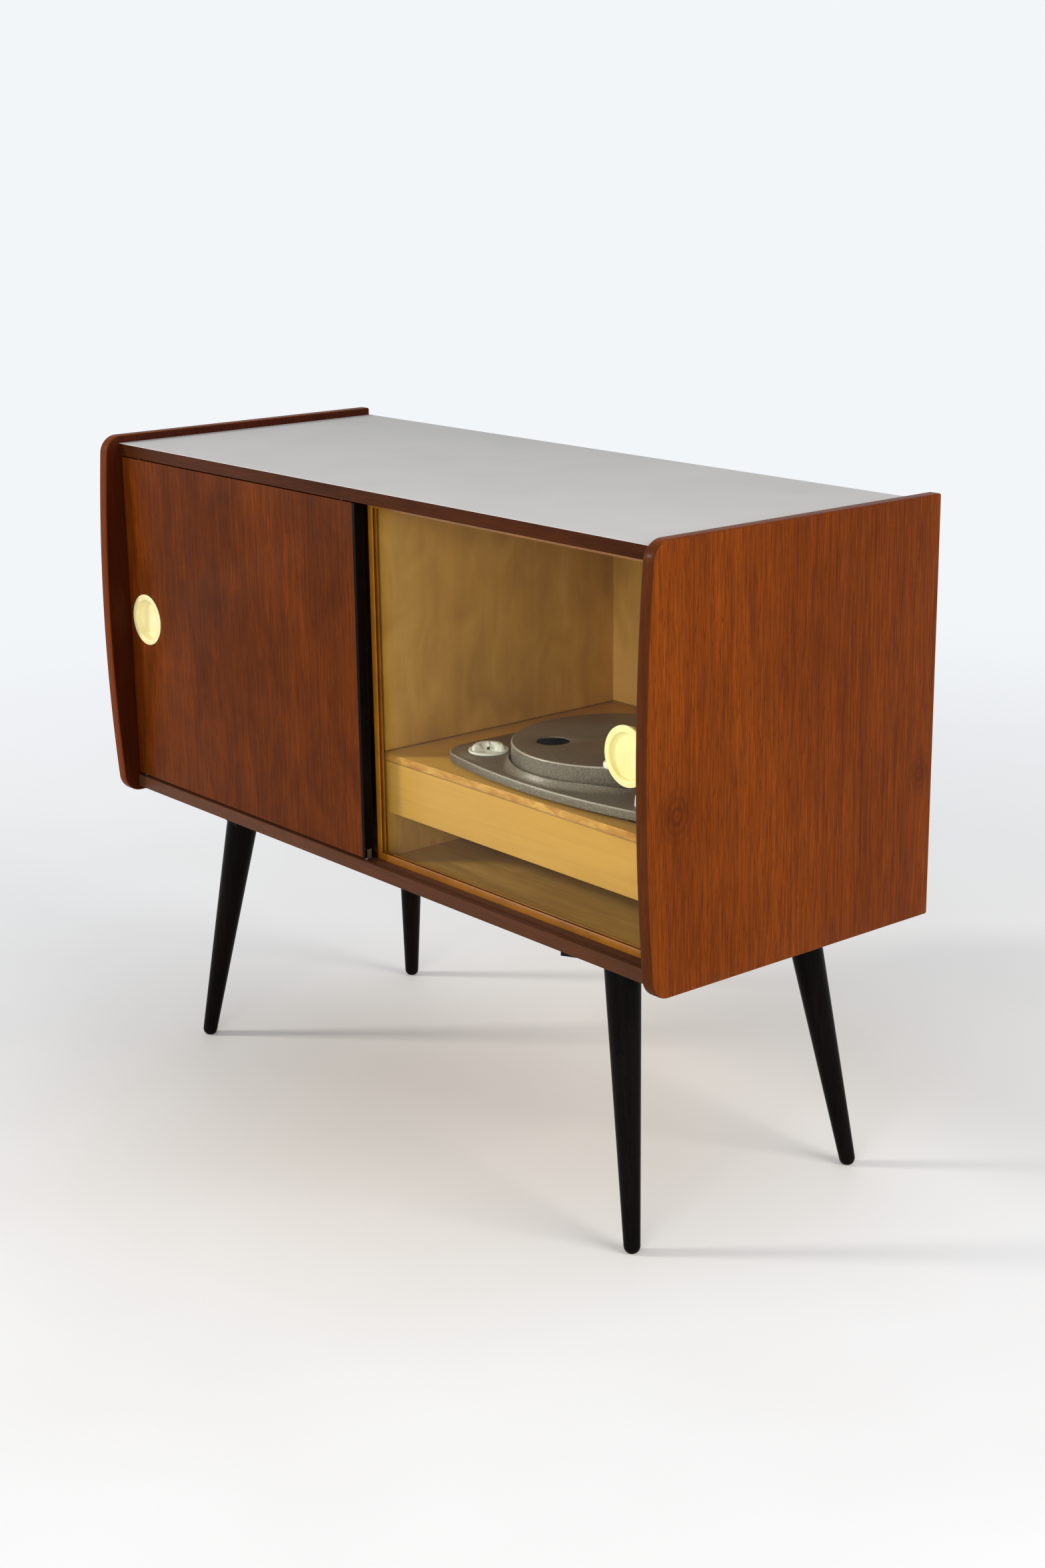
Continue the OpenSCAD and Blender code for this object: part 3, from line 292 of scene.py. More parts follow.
def eased_profile(corners):
    """Rounds a profile's corners, each (radius, height) or (radius, height, rounding)."""
    path = []
    for i, corner in enumerate(corners):
        here = Vector(corner[:2])
        if len(corner) < 3:
            path.append(here)
            continue
        rounding = corner[2]
        before = (Vector(corners[i - 1][:2]) - here).normalized()
        after = (Vector(corners[i + 1][:2]) - here).normalized()
        half = before.angle(after) / 2
        centre = here + (before + after).normalized() * rounding / math.sin(half)
        start = here + before * rounding / math.tan(half) - centre
        end = here + after * rounding / math.tan(half) - centre
        turn = start.angle(end)
        for k in range(ROUND_STEPS + 1):
            part = k / ROUND_STEPS
            arm = start * math.sin((1 - part) * turn) + end * math.sin(part * turn)
            path.append(centre + arm / math.sin(turn))
    return path


def turned(corners, steps=96):
    """Spins a profile, given in millimetres from the foot of the axis, into a closed piece."""
    path = eased_profile(corners)
    bpy.ops.mesh.primitive_plane_add(size=MM)
    piece = bpy.context.object
    edit(piece)
    select_all()
    bpy.ops.mesh.merge(type="CENTER")
    bpy.ops.transform.translate(value=(path[0].x * MM, 0, path[0].y * MM))
    for a, b in zip(path, path[1:]):
        step = (b - a) * MM
        bpy.ops.mesh.extrude_region_move(TRANSFORM_OT_translate={"value": (step.x, 0, step.y)})
    select_all()
    bpy.ops.mesh.spin(steps=steps, angle=math.tau, center=(0, 0, 0), axis=(0, 0, 1))
    select_all()
    bpy.ops.mesh.remove_doubles(threshold=SPUN_WELD)
    bpy.ops.mesh.dissolve_degenerate(threshold=SLIVER)
    bpy.ops.mesh.normals_make_consistent(inside=False)
    close()
    return piece


def stand(piece, place, turn=(0, 0, 0)):
    """Turns a piece and moves it, both into its mesh."""
    focus(piece)
    piece.rotation_euler = turn
    piece.location = place
    apply_place()


# %% [markdown]
# ## The legs
# The legs are black tapered dowels that lean outwards. Only their edges are softened, because a
# turned foot ends in a small dome.

# %% Legs
TIP_ROUND = 3.0  # millimetres
for corner in CORNERS:
    eased_copy("leg_" + corner, TIP_ROUND, "cabinet", "black_wood", steps=5)

# %% [markdown]
# ## The cup pulls
# A pull is a plastic cup with a flange that lies on the door. The wooden door's cup is deep, with
# a narrow rolled rim, and the glass door's is shallow inside a broad flange. The profile runs from
# the middle of the back, out round the flange and back inside, and the piece is tipped forwards.

# %% Cup pulls
TO_FRONT = (math.radians(90), 0, 0)
WOOD_CUP_R, WOOD_FLANGE, WOOD_FLOOR = 26, 1.5, 1.6  # millimetres
GLASS_CUP_R, GLASS_FLANGE, GLASS_CUP = 25, 3, 4.5


def pull_place(node):
    """The middle of a pull's front face, and its radius and depth in millimetres."""
    low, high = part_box(node)
    middle = Vector(((low.x + high.x) / 2, low.y, (low.z + high.z) / 2))
    return middle, (high.x - low.x) / 2 / MM, (high.y - low.y) / MM


spot, flange_r, depth = pull_place("wood_pull")
wood_pull = turned([(0, -depth), (WOOD_CUP_R, -depth, 0.8), (WOOD_CUP_R, -WOOD_FLANGE, 0.3),
                    (flange_r, -WOOD_FLANGE, 0.5), (flange_r, -0.1, 0.6), (flange_r - 3.4, 0, 1.2),
                    (24.8, -0.5, 0.8), (23.4, WOOD_FLOOR - depth, 2.6), (0, WOOD_FLOOR - depth)])
stand(wood_pull, spot, TO_FRONT)
deliver(wood_pull, "wood_pull_turned", "wooden_door", "cream_plastic", "wood_pull")

spot, flange_r, depth = pull_place("glass_pull")
glass_pull = turned([(0, -depth), (GLASS_CUP_R, -depth, 0.8), (GLASS_CUP_R, -GLASS_FLANGE, 0.3),
                     (flange_r, -GLASS_FLANGE, 0.6), (flange_r, -0.6, 1.4), (flange_r - 4, 0, 3),
                     (24.2, -0.3, 1.2), (23.0, -GLASS_CUP, 1.4), (0, -GLASS_CUP)])
stand(glass_pull, spot, TO_FRONT)
deliver(glass_pull, "glass_pull_turned", "glass_door", "cream_plastic", "glass_pull")

# %% [markdown]
# ## The player's base
# The base is pressed from one sheet. Its top runs in a bow along the front, its edge rolls down, a
# collar rises round the platter, and a low dome carries the adapter's dish at the left. Middles
# and radii come from the solids' boxes.

# %% Sizes of the player
base_low, base_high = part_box("player_base")
platter_low, platter_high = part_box("platter")
dish_low, dish_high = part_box("adapter_dish")
SPIN = (platter_low + platter_high) / 2
DISH = (dish_low + dish_high) / 2
PLATTER_R = (platter_high.x - platter_low.x) / 2
DISH_R = (dish_high.x - dish_low.x) / 2
WELL_R = PLATTER_R + 0.9 * MM
BASE_TOP = 476 * MM
BASE_FOOT = 466 * MM
print("platter", round(PLATTER_R / MM * 2, 1), "mm wide, dish", round(DISH_R / MM * 2, 1), "mm")

# %% [markdown]
# The base's edge is a bowed front, four round corners and a straight back. Arcs are laid end to
# end, and the path is then divided into equal steps.

# %% Outline of the base
BOW_R = 688 * MM
BASE_R = 36 * MM
ARC_STEP = 2.5 * MM
COUNT = 240


def evenly_spaced(path, count):
    """Divides a closed path into a number of equal steps."""
    closed = path + path[:1]
    lengths = [0.0]
    for a, b in zip(closed, closed[1:]):
        lengths.append(lengths[-1] + (b - a).length)
    points = []
    for k in range(count):
        want = lengths[-1] * k / count
        i = max(j for j, length in enumerate(lengths[:-1]) if length <= want + 1e-12)
        span = lengths[i + 1] - lengths[i]
        points.append(closed[i].lerp(closed[i + 1], (want - lengths[i]) / span if span > 0 else 0))
    return points


def base_outline(count):
    """Points along the base's edge, from the left end of the front."""
    middle = (base_low.x + base_high.x) / 2
    half = (base_high.x - base_low.x) / 2 - BASE_R
    bow_y = base_low.y + BOW_R
    fall = math.sqrt((BOW_R - BASE_R) ** 2 - half ** 2)
    turn = math.atan2(half, fall)
    back = base_high.y - BASE_R
    path = []

    def arc(x, y, radius, start, end):
        steps = max(4, int(abs(end - start) * radius / ARC_STEP))
        for k in range(steps + 1):
            angle = start + (end - start) * k / steps
            path.append(Vector((x + radius * math.cos(angle), y + radius * math.sin(angle))))

    down = 1.5 * math.pi
    arc(middle, bow_y, BOW_R, down - turn, down + turn)
    arc(middle + half, bow_y - fall, BASE_R, down + turn, math.tau)
    arc(middle + half, back, BASE_R, 0, math.pi / 2)
    arc(middle - half, back, BASE_R, math.pi / 2, math.pi)
    arc(middle - half, bow_y - fall, BASE_R, math.pi, down - turn)
    return evenly_spaced(path, count)


outline = base_outline(COUNT)
print("the base's edge has", len(outline), "points")

# %% [markdown]
# The press gives every place on the sheet a height: the collar falls away from the well's rim, the
# dome from the dish, the higher of the two counts, and the edge rolls down in a quarter circle.

# %% Height of the pressed sheet
EDGE_R = 3 * MM
COLLAR_W, COLLAR_H = 11 * MM, 8 * MM
COLLAR_FLAT = 1.5 * MM  # the collar stays level this far from the well
COLLAR_FADE = 9 * MM  # and runs out over this distance from the base's edge
BOSS_R, BOSS_H = 66 * MM, 4.8 * MM
BOSS_FLAT = 1.5 * MM  # the dome stays level this far round the dish
BOSS_MARGIN = 3 * MM  # and ends this far before the base's edge


def smooth(value, low, high):
    """0 below low, 1 above high, and an eased rise between them."""
    part = min(1, max(0, (value - low) / (high - low)))
    return part * part * (3 - 2 * part)


def pressed_height(p, edge):
    """Height of the pressed sheet at a point, given the distance from the outer edge."""
    away = math.hypot(p.x - SPIN.x, p.y - SPIN.y) - WELL_R
    collar = COLLAR_H * max(0, 1 - max(0, away - COLLAR_FLAT) / (COLLAR_W - COLLAR_FLAT)) ** 2
    reach = math.hypot(p.x - DISH.x, p.y - DISH.y)
    inward = max(0, reach - DISH_R - BOSS_FLAT)
    outward = max(0, min(edge - BOSS_MARGIN, BOSS_R - reach))
    boss = BOSS_H * (1 - smooth(inward / max(inward + outward, 0.001 * MM), 0, 1))
    rolled = EDGE_R - math.sqrt(max(0, EDGE_R ** 2 - max(0, EDGE_R - edge) ** 2))
    return BASE_TOP + max(collar * smooth(edge, 0, COLLAR_FADE), boss) - rolled


# %% [markdown]
# A loop of points follows the edge and a second one circles the platter. Bridging the two lays
# bands of faces between them.

# %% Bands from the edge to the well
BANDS = 22


def ring_of(points, name, height):
    """Makes a circle and carries its points to a closed path."""
    bpy.ops.mesh.primitive_circle_add(vertices=len(points), radius=0.1)
    ring = bpy.context.object
    ring.name = name
    for v, p in zip(ring.data.vertices, points):
        v.co = (p.x, p.y, height)
    return ring


well = []
for p in outline:
    angle = math.atan2(p.y - SPIN.y, p.x - SPIN.x)
    well.append(Vector((SPIN.x + WELL_R * math.cos(angle), SPIN.y + WELL_R * math.sin(angle))))

base = ring_of(outline, "base", BASE_TOP)
inner = ring_of(well, "inner", BASE_TOP)
focus(base)
inner.select_set(True)
bpy.ops.object.join()
edit(base, "EDGE")
select_all()
bpy.ops.mesh.bridge_edge_loops(number_cuts=BANDS, interpolation="LINEAR")
close()
print("base has", len(base.data.vertices), "points")

# %% [markdown]
# The bands are too wide for the tight roll of the edge. The outer rings are drawn to the edge, the
# others share what is left, and each point takes the height of the pressed form.

# %% Rings by the edge
ROLL = [0, 0.25, 0.6, 1.0, 1.5, 2.1, 3.0]  # the outer rings' distances from the edge, mm


def edge_distance(p):
    return min((Vector((p.x, p.y)) - q).length for q in outline)


rays = [math.atan2(p.y - SPIN.y, p.x - SPIN.x) for p in well]
columns = [[] for ray in rays]
for v in base.data.vertices:
    out = Vector((v.co.x - SPIN.x, v.co.y - SPIN.y))
    angle = math.atan2(out.y, out.x)
    nearest = min(range(COUNT), key=lambda i: abs(rays[i] - angle))
    columns[nearest].append((out.length, v.index))
for column in columns:
    column.sort(reverse=True)
    rim = column[0][0]
    for k, (reach, index) in enumerate(column):
        if k < len(ROLL):
            wanted = rim - ROLL[k] * MM
        else:
            part = (k - len(ROLL) + 1) / (len(column) - len(ROLL))
            wanted = (rim - ROLL[-1] * MM) * (1 - part) + WELL_R * part
        v = base.data.vertices[index]
        v.co.x = SPIN.x + (v.co.x - SPIN.x) * wanted / reach
        v.co.y = SPIN.y + (v.co.y - SPIN.y) * wanted / reach
for v in base.data.vertices:
    v.co.z = pressed_height(v.co, edge_distance(v.co))
print("rings in a column", {len(column) for column in columns})

# %% [markdown]
# Short walls go down from the edge and the well's rim, the surface gets its thickness, and a
# cylinder cuts the round hole under the dish.

# %% Walls, thickness and hole
SHEET = 1.5 * MM
SEAT_W = 2 * MM  # the dish's flange lies on this much of the sheet
CUTTER_H = 60 * MM


def draw_up(height):
    """Extrudes the selected edges upwards, or downwards where the height is negative."""
    bpy.ops.mesh.extrude_edges_move(TRANSFORM_OT_translate={"value": (0, 0, height)})


def drill(piece, radius, place, sides):
    """Cuts an upright round hole through a piece."""
    bpy.ops.mesh.primitive_cylinder_add(vertices=sides, radius=radius, depth=CUTTER_H,
                                        location=place)
    cutter = bpy.context.object
    modify(piece, "BOOLEAN", operation="DIFFERENCE", object=cutter, solver="EXACT")
    bpy.data.objects.remove(cutter)


edit(base, "EDGE")
pick("VERT", lambda p: edge_distance(p) < 0.1 * MM)
draw_up(BASE_FOOT - BASE_TOP + EDGE_R)
pick("VERT", lambda p: abs(math.hypot(p.x - SPIN.x, p.y - SPIN.y) - WELL_R) < 0.05 * MM)
draw_up(-COLLAR_H)
close()
modify(base, "SOLIDIFY", thickness=SHEET, offset=-1)
drill(base, DISH_R - SEAT_W, (DISH.x, DISH.y, BASE_TOP), 64)
deliver(base, "player_base_pressed", "cabinet", "hammered", "player_base", crease=50)

# %% [markdown]
# Through the platter's hole the eye meets a dark sunk floor, a sheet of painted shade for the dark
# space under the platter. It is turned as a flat dish with a hole for the bearing. It stands for no
# solid, so it replaces none.

# %% Floor of the well
WELL_HOLE, WALL_H, UNDERSIDE = 17, 6, -1.5  # millimetres
WELL_SINK = 1.6 * MM
floor_r = WELL_R / MM + 0.3
shade_sheet = turned([(WELL_HOLE, 0), (floor_r - 1.8, 0, 1.0), (floor_r - 0.5, WALL_H),
                     (floor_r, WALL_H), (floor_r, UNDERSIDE), (WELL_HOLE, UNDERSIDE),
                     (WELL_HOLE, 0)])
stand(shade_sheet, (SPIN.x, SPIN.y, BASE_TOP - WELL_SINK))
# A sheet of painted shade under the platter's hole.
deliver(shade_sheet, "player_well_shade", "cabinet", "black_plastic")

# %% [markdown]
# ## The platter
# The platter is a pressed dish upside down, with a round shoulder and one big hole that shows the
# dark space under it. It is turned, and the hole is then cut with a cylinder.

# %% Platter
HUB_HOLE, PLATTER_WALL, SHOULDER = 4.7, 1.8, 2.4  # millimetres
PORT_R = 18.3 * MM
PORT_OUT = 66.8 * MM  # from the axis to the middle of the round hole
PORT_ANGLE = math.radians(235)
rise = (platter_high.z - platter_low.z) / MM
platter_r = PLATTER_R / MM
platter = turned([(HUB_HOLE, rise - PLATTER_WALL), (platter_r - SHOULDER, rise - PLATTER_WALL, 1.2),
                  (platter_r - PLATTER_WALL, 0), (platter_r, 0), (platter_r, rise, SHOULDER),
                  (HUB_HOLE, rise), (HUB_HOLE, rise - PLATTER_WALL)], steps=160)
stand(platter, (SPIN.x, SPIN.y, platter_low.z))
port = (SPIN.x + PORT_OUT * math.cos(PORT_ANGLE), SPIN.y + PORT_OUT * math.sin(PORT_ANGLE))
drill(platter, PORT_R, (*port, platter_high.z), 96)
ease(platter, 0.35, steps=2, crease=50)
deliver(platter, "platter_turned", "turntable", "hammered", "platter", crease=40)

# %% [markdown]
# ## The adapter and its dish
# A white moulded dish in the base holds the adapter for records with a large hole. The dish is
# turned, with a flange that lies on the base.

# %% Dish
DISH_HOLE, DISH_FLOOR, LIP = 3.8, 1.4, 2.6  # millimetres
dish_r = DISH_R / MM
dish_h = (dish_high.z - dish_low.z) / MM
dish = turned([(DISH_HOLE, 0), (dish_r - 3.4, 0, 1.2), (dish_r - 2.2, dish_h - LIP, 0.4),
               (dish_r, dish_h - LIP, 0.4), (dish_r, dish_h, 0.8), (dish_r - LIP, dish_h, 0.8),
               (dish_r - 4.6, DISH_FLOOR, 1.6), (DISH_HOLE, DISH_FLOOR), (DISH_HOLE, 0)])
stand(dish, (DISH.x, DISH.y, dish_low.z))
deliver(dish, "adapter_dish_turned", "cabinet", "white_plastic", "adapter_dish")

# %% [markdown]
# The adapter has three wings round a low bored hub, with scooped faces between them. A circle is
# extruded up for the skirt, inwards ring by ring, and down into the bore.

# %% Rings of the adapter
puck_low, puck_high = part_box("adapter_puck")
PUCK_R = DISH_R - 3 * MM
PUCK_H = puck_high.z - puck_low.z
BORE_R = 1.5 * MM
SKIRT = PUCK_H * 0.3
RINGS = 22
bpy.ops.mesh.primitive_circle_add(vertices=120, radius=PUCK_R, fill_type="NOTHING",
                                  location=(DISH.x, DISH.y, puck_low.z))
puck = bpy.context.object
apply_place()
edit(puck, "EDGE")
select_all()
draw_up(SKIRT)
for ring in range(1, RINGS + 1):
    wide = PUCK_R + (BORE_R - PUCK_R) * ring / RINGS
    before = PUCK_R + (BORE_R - PUCK_R) * (ring - 1) / RINGS
    bpy.ops.mesh.extrude_edges_move()
    bpy.ops.transform.resize(value=(wide / before, wide / before, 1),
                             center_override=(DISH.x, DISH.y, 0))
draw_up(-SKIRT)
close()
print("adapter has", len(puck.data.vertices), "points")

# %% [markdown]
# Each point is then lifted to the highest of hub, wing and rim above its place. The gap at the
# front has no rim, so there the scoop runs out over the edge.

# %% Hub, wings and rim
WINGS = (20, 140, 260)  # headings, in degrees
OPEN_SIDE = 320  # heading of the gap without a rim
FLOOR_PART, TOP_PART = 0.36, 0.88  # parts of the adapter's height
RIM_ROUND = 4.5 * MM
SHELL = 0.9 * MM


def turn_between(a, b):
    """Degrees between two headings, 0 to 180."""
    return abs((a - b + 180) % 360 - 180)


for v in puck.data.vertices:
    if v.co.z < puck_low.z + 0.1 * MM:
        continue
    away = Vector((v.co.x - DISH.x, v.co.y - DISH.y))
    reach = away.length
    heading = math.degrees(math.atan2(away.y, away.x))
    aside = min(turn_between(heading, wing) for wing in WINGS)
    closed = smooth(turn_between(heading, OPEN_SIDE), 50, 88)
    fall = math.sqrt(max(0, 1 - max(0, (reach - PUCK_R + RIM_ROUND) / RIM_ROUND) ** 2))
    hub = (0.14 + 0.14 * closed) * (1 - smooth(reach, 2.2 * MM, 6.5 * MM))
    wing = (1 - smooth(aside, 0, 34)) * (0.06 + 0.46 * closed ** 2)
    wing = wing * smooth(reach, 1.8 * MM, 5.5 * MM) * fall
    rim = (TOP_PART - FLOOR_PART) * closed * smooth(reach, 3.5 * MM, 11 * MM) * fall
    v.co.z = puck_low.z + PUCK_H * (FLOOR_PART * (0.5 + 0.5 * fall) + max(hub, wing, rim))
modify(puck, "SOLIDIFY", thickness=SHELL, offset=-1)
edit(puck)
select_all()
bpy.ops.mesh.normals_make_consistent(inside=False)
close()
deliver(puck, "adapter_puck_winged", "adapter", "white_plastic", "adapter_puck", crease=50)

# %% [markdown]
# ## The speed knob
# Only the knob's side shows past the edge of the side panel. It is a white turned cap with a soft
# edge and shallow flutes for the fingers.

# %% Speed knob
KNOB_H = 11.4  # millimetres
KNOB_GAP = 0.6 * MM  # between the base and the knob
FLUTES = 24
FLUTE_DEPTH = 0.035  # of the knob's radius
knob_low, knob_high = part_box("speed_knob")
knob_r = (knob_high.x - knob_low.x) / 2 / MM
knob = turned([(3.1, 0), (knob_r, 0, 0.4), (knob_r - 0.9, KNOB_H, 1.6), (knob_r - 4, KNOB_H, 0.6),
               (knob_r - 4.6, KNOB_H - 0.7, 0.6), (0, KNOB_H - 0.7)], steps=144)
for v in knob.data.vertices:
    if math.hypot(v.co.x, v.co.y) > (knob_r - 1.6) * MM and v.co.z < (KNOB_H - 1.2) * MM:
        flute = 0.5 - 0.5 * math.cos(FLUTES * math.atan2(v.co.y, v.co.x))
        v.co.x *= 1 - FLUTE_DEPTH * flute
        v.co.y *= 1 - FLUTE_DEPTH * flute
stand(knob, ((knob_low.x + knob_high.x) / 2, (knob_low.y + knob_high.y) / 2, BASE_TOP + KNOB_GAP))
deliver(knob, "speed_knob_turned", "knob", "white_plastic", "speed_knob", crease=45)

# %% [markdown]
# ## The tonearm's small parts
# The arm's head is moulded with a round nose. It is a block along the arm with two rounded
# corners, turned to where the arm rests. The other small parts are copies with soft edges.

# %% Tonearm
HEAD = ((164, -7.5, -4.2), (203.2, 7.5, 4.2))  # corners along the arm, in millimetres
NOSE_R = 7.2 * MM
HEAD_ROUND = 3.4  # millimetres
POST = (399.75 * MM, 72 * MM, 516 * MM)
ARM_TURN = math.radians(256.4)
low, high = (Vector(c) * MM for c in HEAD)
head = block(low, high)
edit(head)
for at_side in (lambda p: p.y > high.y - 0.1 * MM, lambda p: p.y < low.y + 0.1 * MM):
    pick("EDGE", lambda p: p.x > high.x - MM and at_side(p))
    bpy.ops.mesh.bevel(offset=NOSE_R, segments=8, affect="EDGES")
close()
ease(head, HEAD_ROUND, steps=5, crease=40)
stand(head, POST, (0, 0, ARM_TURN))
deliver(head, "arm_head_moulded", "tonearm", "white_plastic", "arm_head")
eased_copy("cartridge", 0.5, "tonearm", "black_plastic")
eased_copy("arm_block", 0.6, "tonearm", "black_plastic")
eased_copy("counterweight", 1.2, "tonearm", "grey_metal")
eased_copy("arm_rest", 0.6, "cabinet", "white_plastic")
eased_copy("arm_yoke", 0.6, "arm_base", "bright_steel")

# %% [markdown]
# ## Sums in a shader
# A finish is a net of nodes. To write it like ordinary maths, a small class wraps a socket, and
# each sum on it adds a Math node.

# %% Sums
X, Y, Z = range(3)


def paint(red, green, blue):
    """A colour read off a screen, 0 to 255, as the linear values that a shader wants."""
    linear = [((c / 255 + 0.055) / 1.055) ** 2.4 if c > 10 else c / 255 / 12.92
              for c in (red, green, blue)]
    return (*linear, 1)


def tones(*colours):
    return [paint(*colour) for colour in colours]


def sum_node(operation, turned_round=False):
    def method(self, other):
        return self.finish.maths(operation, *((other, self) if turned_round else (self, other)))
    return method


class Value:
    """A socket of a finish, with the signs of ordinary maths."""

    def __init__(self, finish, socket):
        self.finish, self.socket = finish, socket

    __add__, __radd__ = sum_node("ADD"), sum_node("ADD", True)
    __sub__, __rsub__ = sum_node("SUBTRACT"), sum_node("SUBTRACT", True)
    __mul__, __rmul__ = sum_node("MULTIPLY"), sum_node("MULTIPLY", True)
    __pow__ = sum_node("POWER")
    __lt__, __gt__ = sum_node("LESS_THAN"), sum_node("GREATER_THAN")


# %% [markdown]
# A finish wraps a material. Every node comes from one method. The patterns are laid in the
# object's own coordinates, so they need no picture and stay with the piece when it moves.

# %% Finishes
class Finish:
    """A material, and the methods that lay its nodes."""

    def __init__(self, name):
        self.material = bpy.data.materials.new(name)
        self.material.use_nodes = True
        self.tree = self.material.node_tree
        self.shader = self.tree.nodes["Principled BSDF"]
        self.output = self.tree.nodes["Material Output"]
        self.here = self.node("ShaderNodeTexCoord", out="Object")
        self.xyz = [self.node("ShaderNodeSeparateXYZ", {}, {0: self.here}, out=i)
                    for i in (X, Y, Z)]

    def node(self, kind, settings=None, inputs=None, out=0):
        made = self.tree.nodes.new(kind)
        for key, value in (settings or {}).items():
            if key == "stops":
                while len(made.color_ramp.elements) < len(value):
                    made.color_ramp.elements.new(0.5)
                for stop, (place, colour) in zip(made.color_ramp.elements, value):
                    stop.position, stop.color = place, colour
            else:
                setattr(made, key, value)
        for key, value in (inputs or {}).items():
            self.feed(made.inputs[key], value)
        return Value(self, made.outputs[out])

    def feed(self, socket, value):
        if isinstance(value, Value):
            self.tree.links.new(value.socket, socket)
        else:
            socket.default_value = value

    def look(self, **sockets):
        """Sets the shader's sockets, named with _ for a space."""
        for key, value in sockets.items():
            self.feed(self.shader.inputs[key.replace("_", " ")], value)

    def maths(self, operation, *values):
        return self.node("ShaderNodeMath", {"operation": operation}, dict(enumerate(values)))

    def vectors(self, operation, *values, out=0):
        return self.node("ShaderNodeVectorMath", {"operation": operation}, dict(enumerate(values)),
                         out)

    def facing(self, axis):
        """How far the surface faces along an axis, -1 to 1."""
        normal = self.node("ShaderNodeTexCoord", out="Normal")
        return self.node("ShaderNodeSeparateXYZ", {}, {0: normal}, out=axis)

    def noise(self, scale, stretch=(1, 1, 1), detail=2.0, offset=(0, 0, 0), distortion=0.0):
        """Clouds from 0 to 1. They are narrow along an axis with a high stretch."""
        place = self.node("ShaderNodeMapping", {},
                          {"Vector": self.here, "Scale": stretch, "Location": offset})
        return self.node("ShaderNodeTexNoise", {}, {"Vector": place, "Scale": scale,
                                                    "Detail": detail, "Distortion": distortion})

    def clamp(self, value, low, high):
        """0 below low, 1 above high, and smooth between."""
        return self.node("ShaderNodeMapRange", {"interpolation_type": "SMOOTHSTEP"},
                         {"Value": value, "From Min": low, "From Max": high})

    def mix(self, part, a, b):
        """The colour a where the part is 0, and b where it is 1."""
        return self.node("ShaderNodeMix", {"data_type": "RGBA"}, {0: part, 6: a, 7: b}, out=2)

    def ramp(self, value, *stops):
        return self.node("ShaderNodeValToRGB", {"stops": stops}, {0: value})

    def bump(self, height, distance, strength=1.0):
        self.look(Normal=self.node("ShaderNodeBump", {}, {
            "Strength": strength, "Distance": distance * MM, "Height": height}))

    def near(self, point, reach, squash=(1, 1, 1)):
        """1 at a point, falling to 0 at a distance, in a ball that may be stretched."""
        gap = self.vectors("SUBTRACT", self.here, point)
        gap = self.vectors("MULTIPLY", gap, squash)
        size = self.vectors("LENGTH", gap, out="Value")
        return 1 - self.clamp(size, 0.0, reach), size


finishes = {}


def keep(slot, finish):
    finishes[slot] = finish.material
    print("finish", slot, "has", len(finish.tree.nodes), "nodes")


# %% [markdown]
# ## Veneer
# Stained veneer is read in layers: slow drifts of tone, broad streaks, fine fibres and short dark
# pores. All run with the grain, so the same noise is squeezed along that axis.

# %% Wood
def wood(finish, along, colours, seed, drift=0.5, streak=0.5, fibre=0.45, pore=0.35, blotch=0.3,
         stripe=0.3, shade=0.0):
    """Returns the colour of wood and the height of its grain. along is the grain's axis, colours
    run dark to light, and shade darkens the tone."""
    def run(across, length):
        return [length if axis == along else across for axis in (X, Y, Z)]
    at = (seed, seed * 1.7, seed * 0.6)
    slow = finish.noise(1, run(6.0, 2.2), 2, at)
    broad = finish.noise(1, run(42, 3.2), 3, at, 0.5)
    cloud = finish.noise(1, run(22, 12), 3, at, 1.0)
    band = finish.noise(1, run(240, 6), 3, at, 0.2)
    fine = finish.noise(1, run(820, 22), 2, at)
    dash = finish.noise(1, run(950, 60), 1, at)
    tone = (slow - 0.5) * drift + (broad - 0.5) * streak + (cloud - 0.5) * blotch
    tone = tone + (band - 0.5) * stripe + (fine - 0.5) * fibre - shade
    colour = finish.ramp(tone + 0.5, (0.2, colours[0]), (0.5, colours[1]), (0.8, colours[2]))
    pores = finish.clamp(dash, 0.58, 0.66)
    colour = finish.mix(pores * pore, colour, colours[0])
    return colour, fine * 0.6 - pores * 0.8 + band * 0.3


def varnish(finish, colour, roughness, gloss=0.04, coat=0.03, coat_roughness=0.16):
    finish.look(Base_Color=colour, Roughness=roughness, Specular_IOR_Level=gloss,
                Coat_Weight=coat, Coat_Roughness=coat_roughness)


# %% [markdown]
# The case is stained outside and birch inside. One board carries both, so a mask finds the faces
# behind the doors by their place.

# %% Stains and the inside
BIRCH = tones((166, 122, 54), (196, 151, 68), (216, 173, 90))
STAIN = tones((78, 30, 3), (114, 51, 5), (146, 70, 10))
FRONT_STAIN_AND_SHADE = tones((58, 24, 3), (84, 38, 6), (108, 54, 12))
DOOR_STAIN = tones((62, 25, 3), (89, 38, 4), (116, 53, 8))
DARK_STAIN = tones((48, 20, 5), (70, 32, 8), (90, 42, 12))
DEEP_SHADE = tones((44, 12, 2), (60, 19, 3), (78, 28, 4))
INSIDE_X = 0.4846  # to either side of the middle
INSIDE_Y = (-0.1445, 0.1995)
INSIDE_Z = (0.3402, 0.7486)


def between_sides(finish):
    """1 between the inner faces of the two side panels."""
    return finish.maths("ABSOLUTE", finish.xyz[X]) < INSIDE_X


def interior_mask(finish):
    """1 on the faces inside the case, behind the doors."""
    _, y, z = finish.xyz
    inside_z = (z > INSIDE_Z[0]) * (z < INSIDE_Z[1])
    return between_sides(finish) * inside_z * (y > INSIDE_Y[0]) * (y < INSIDE_Y[1])
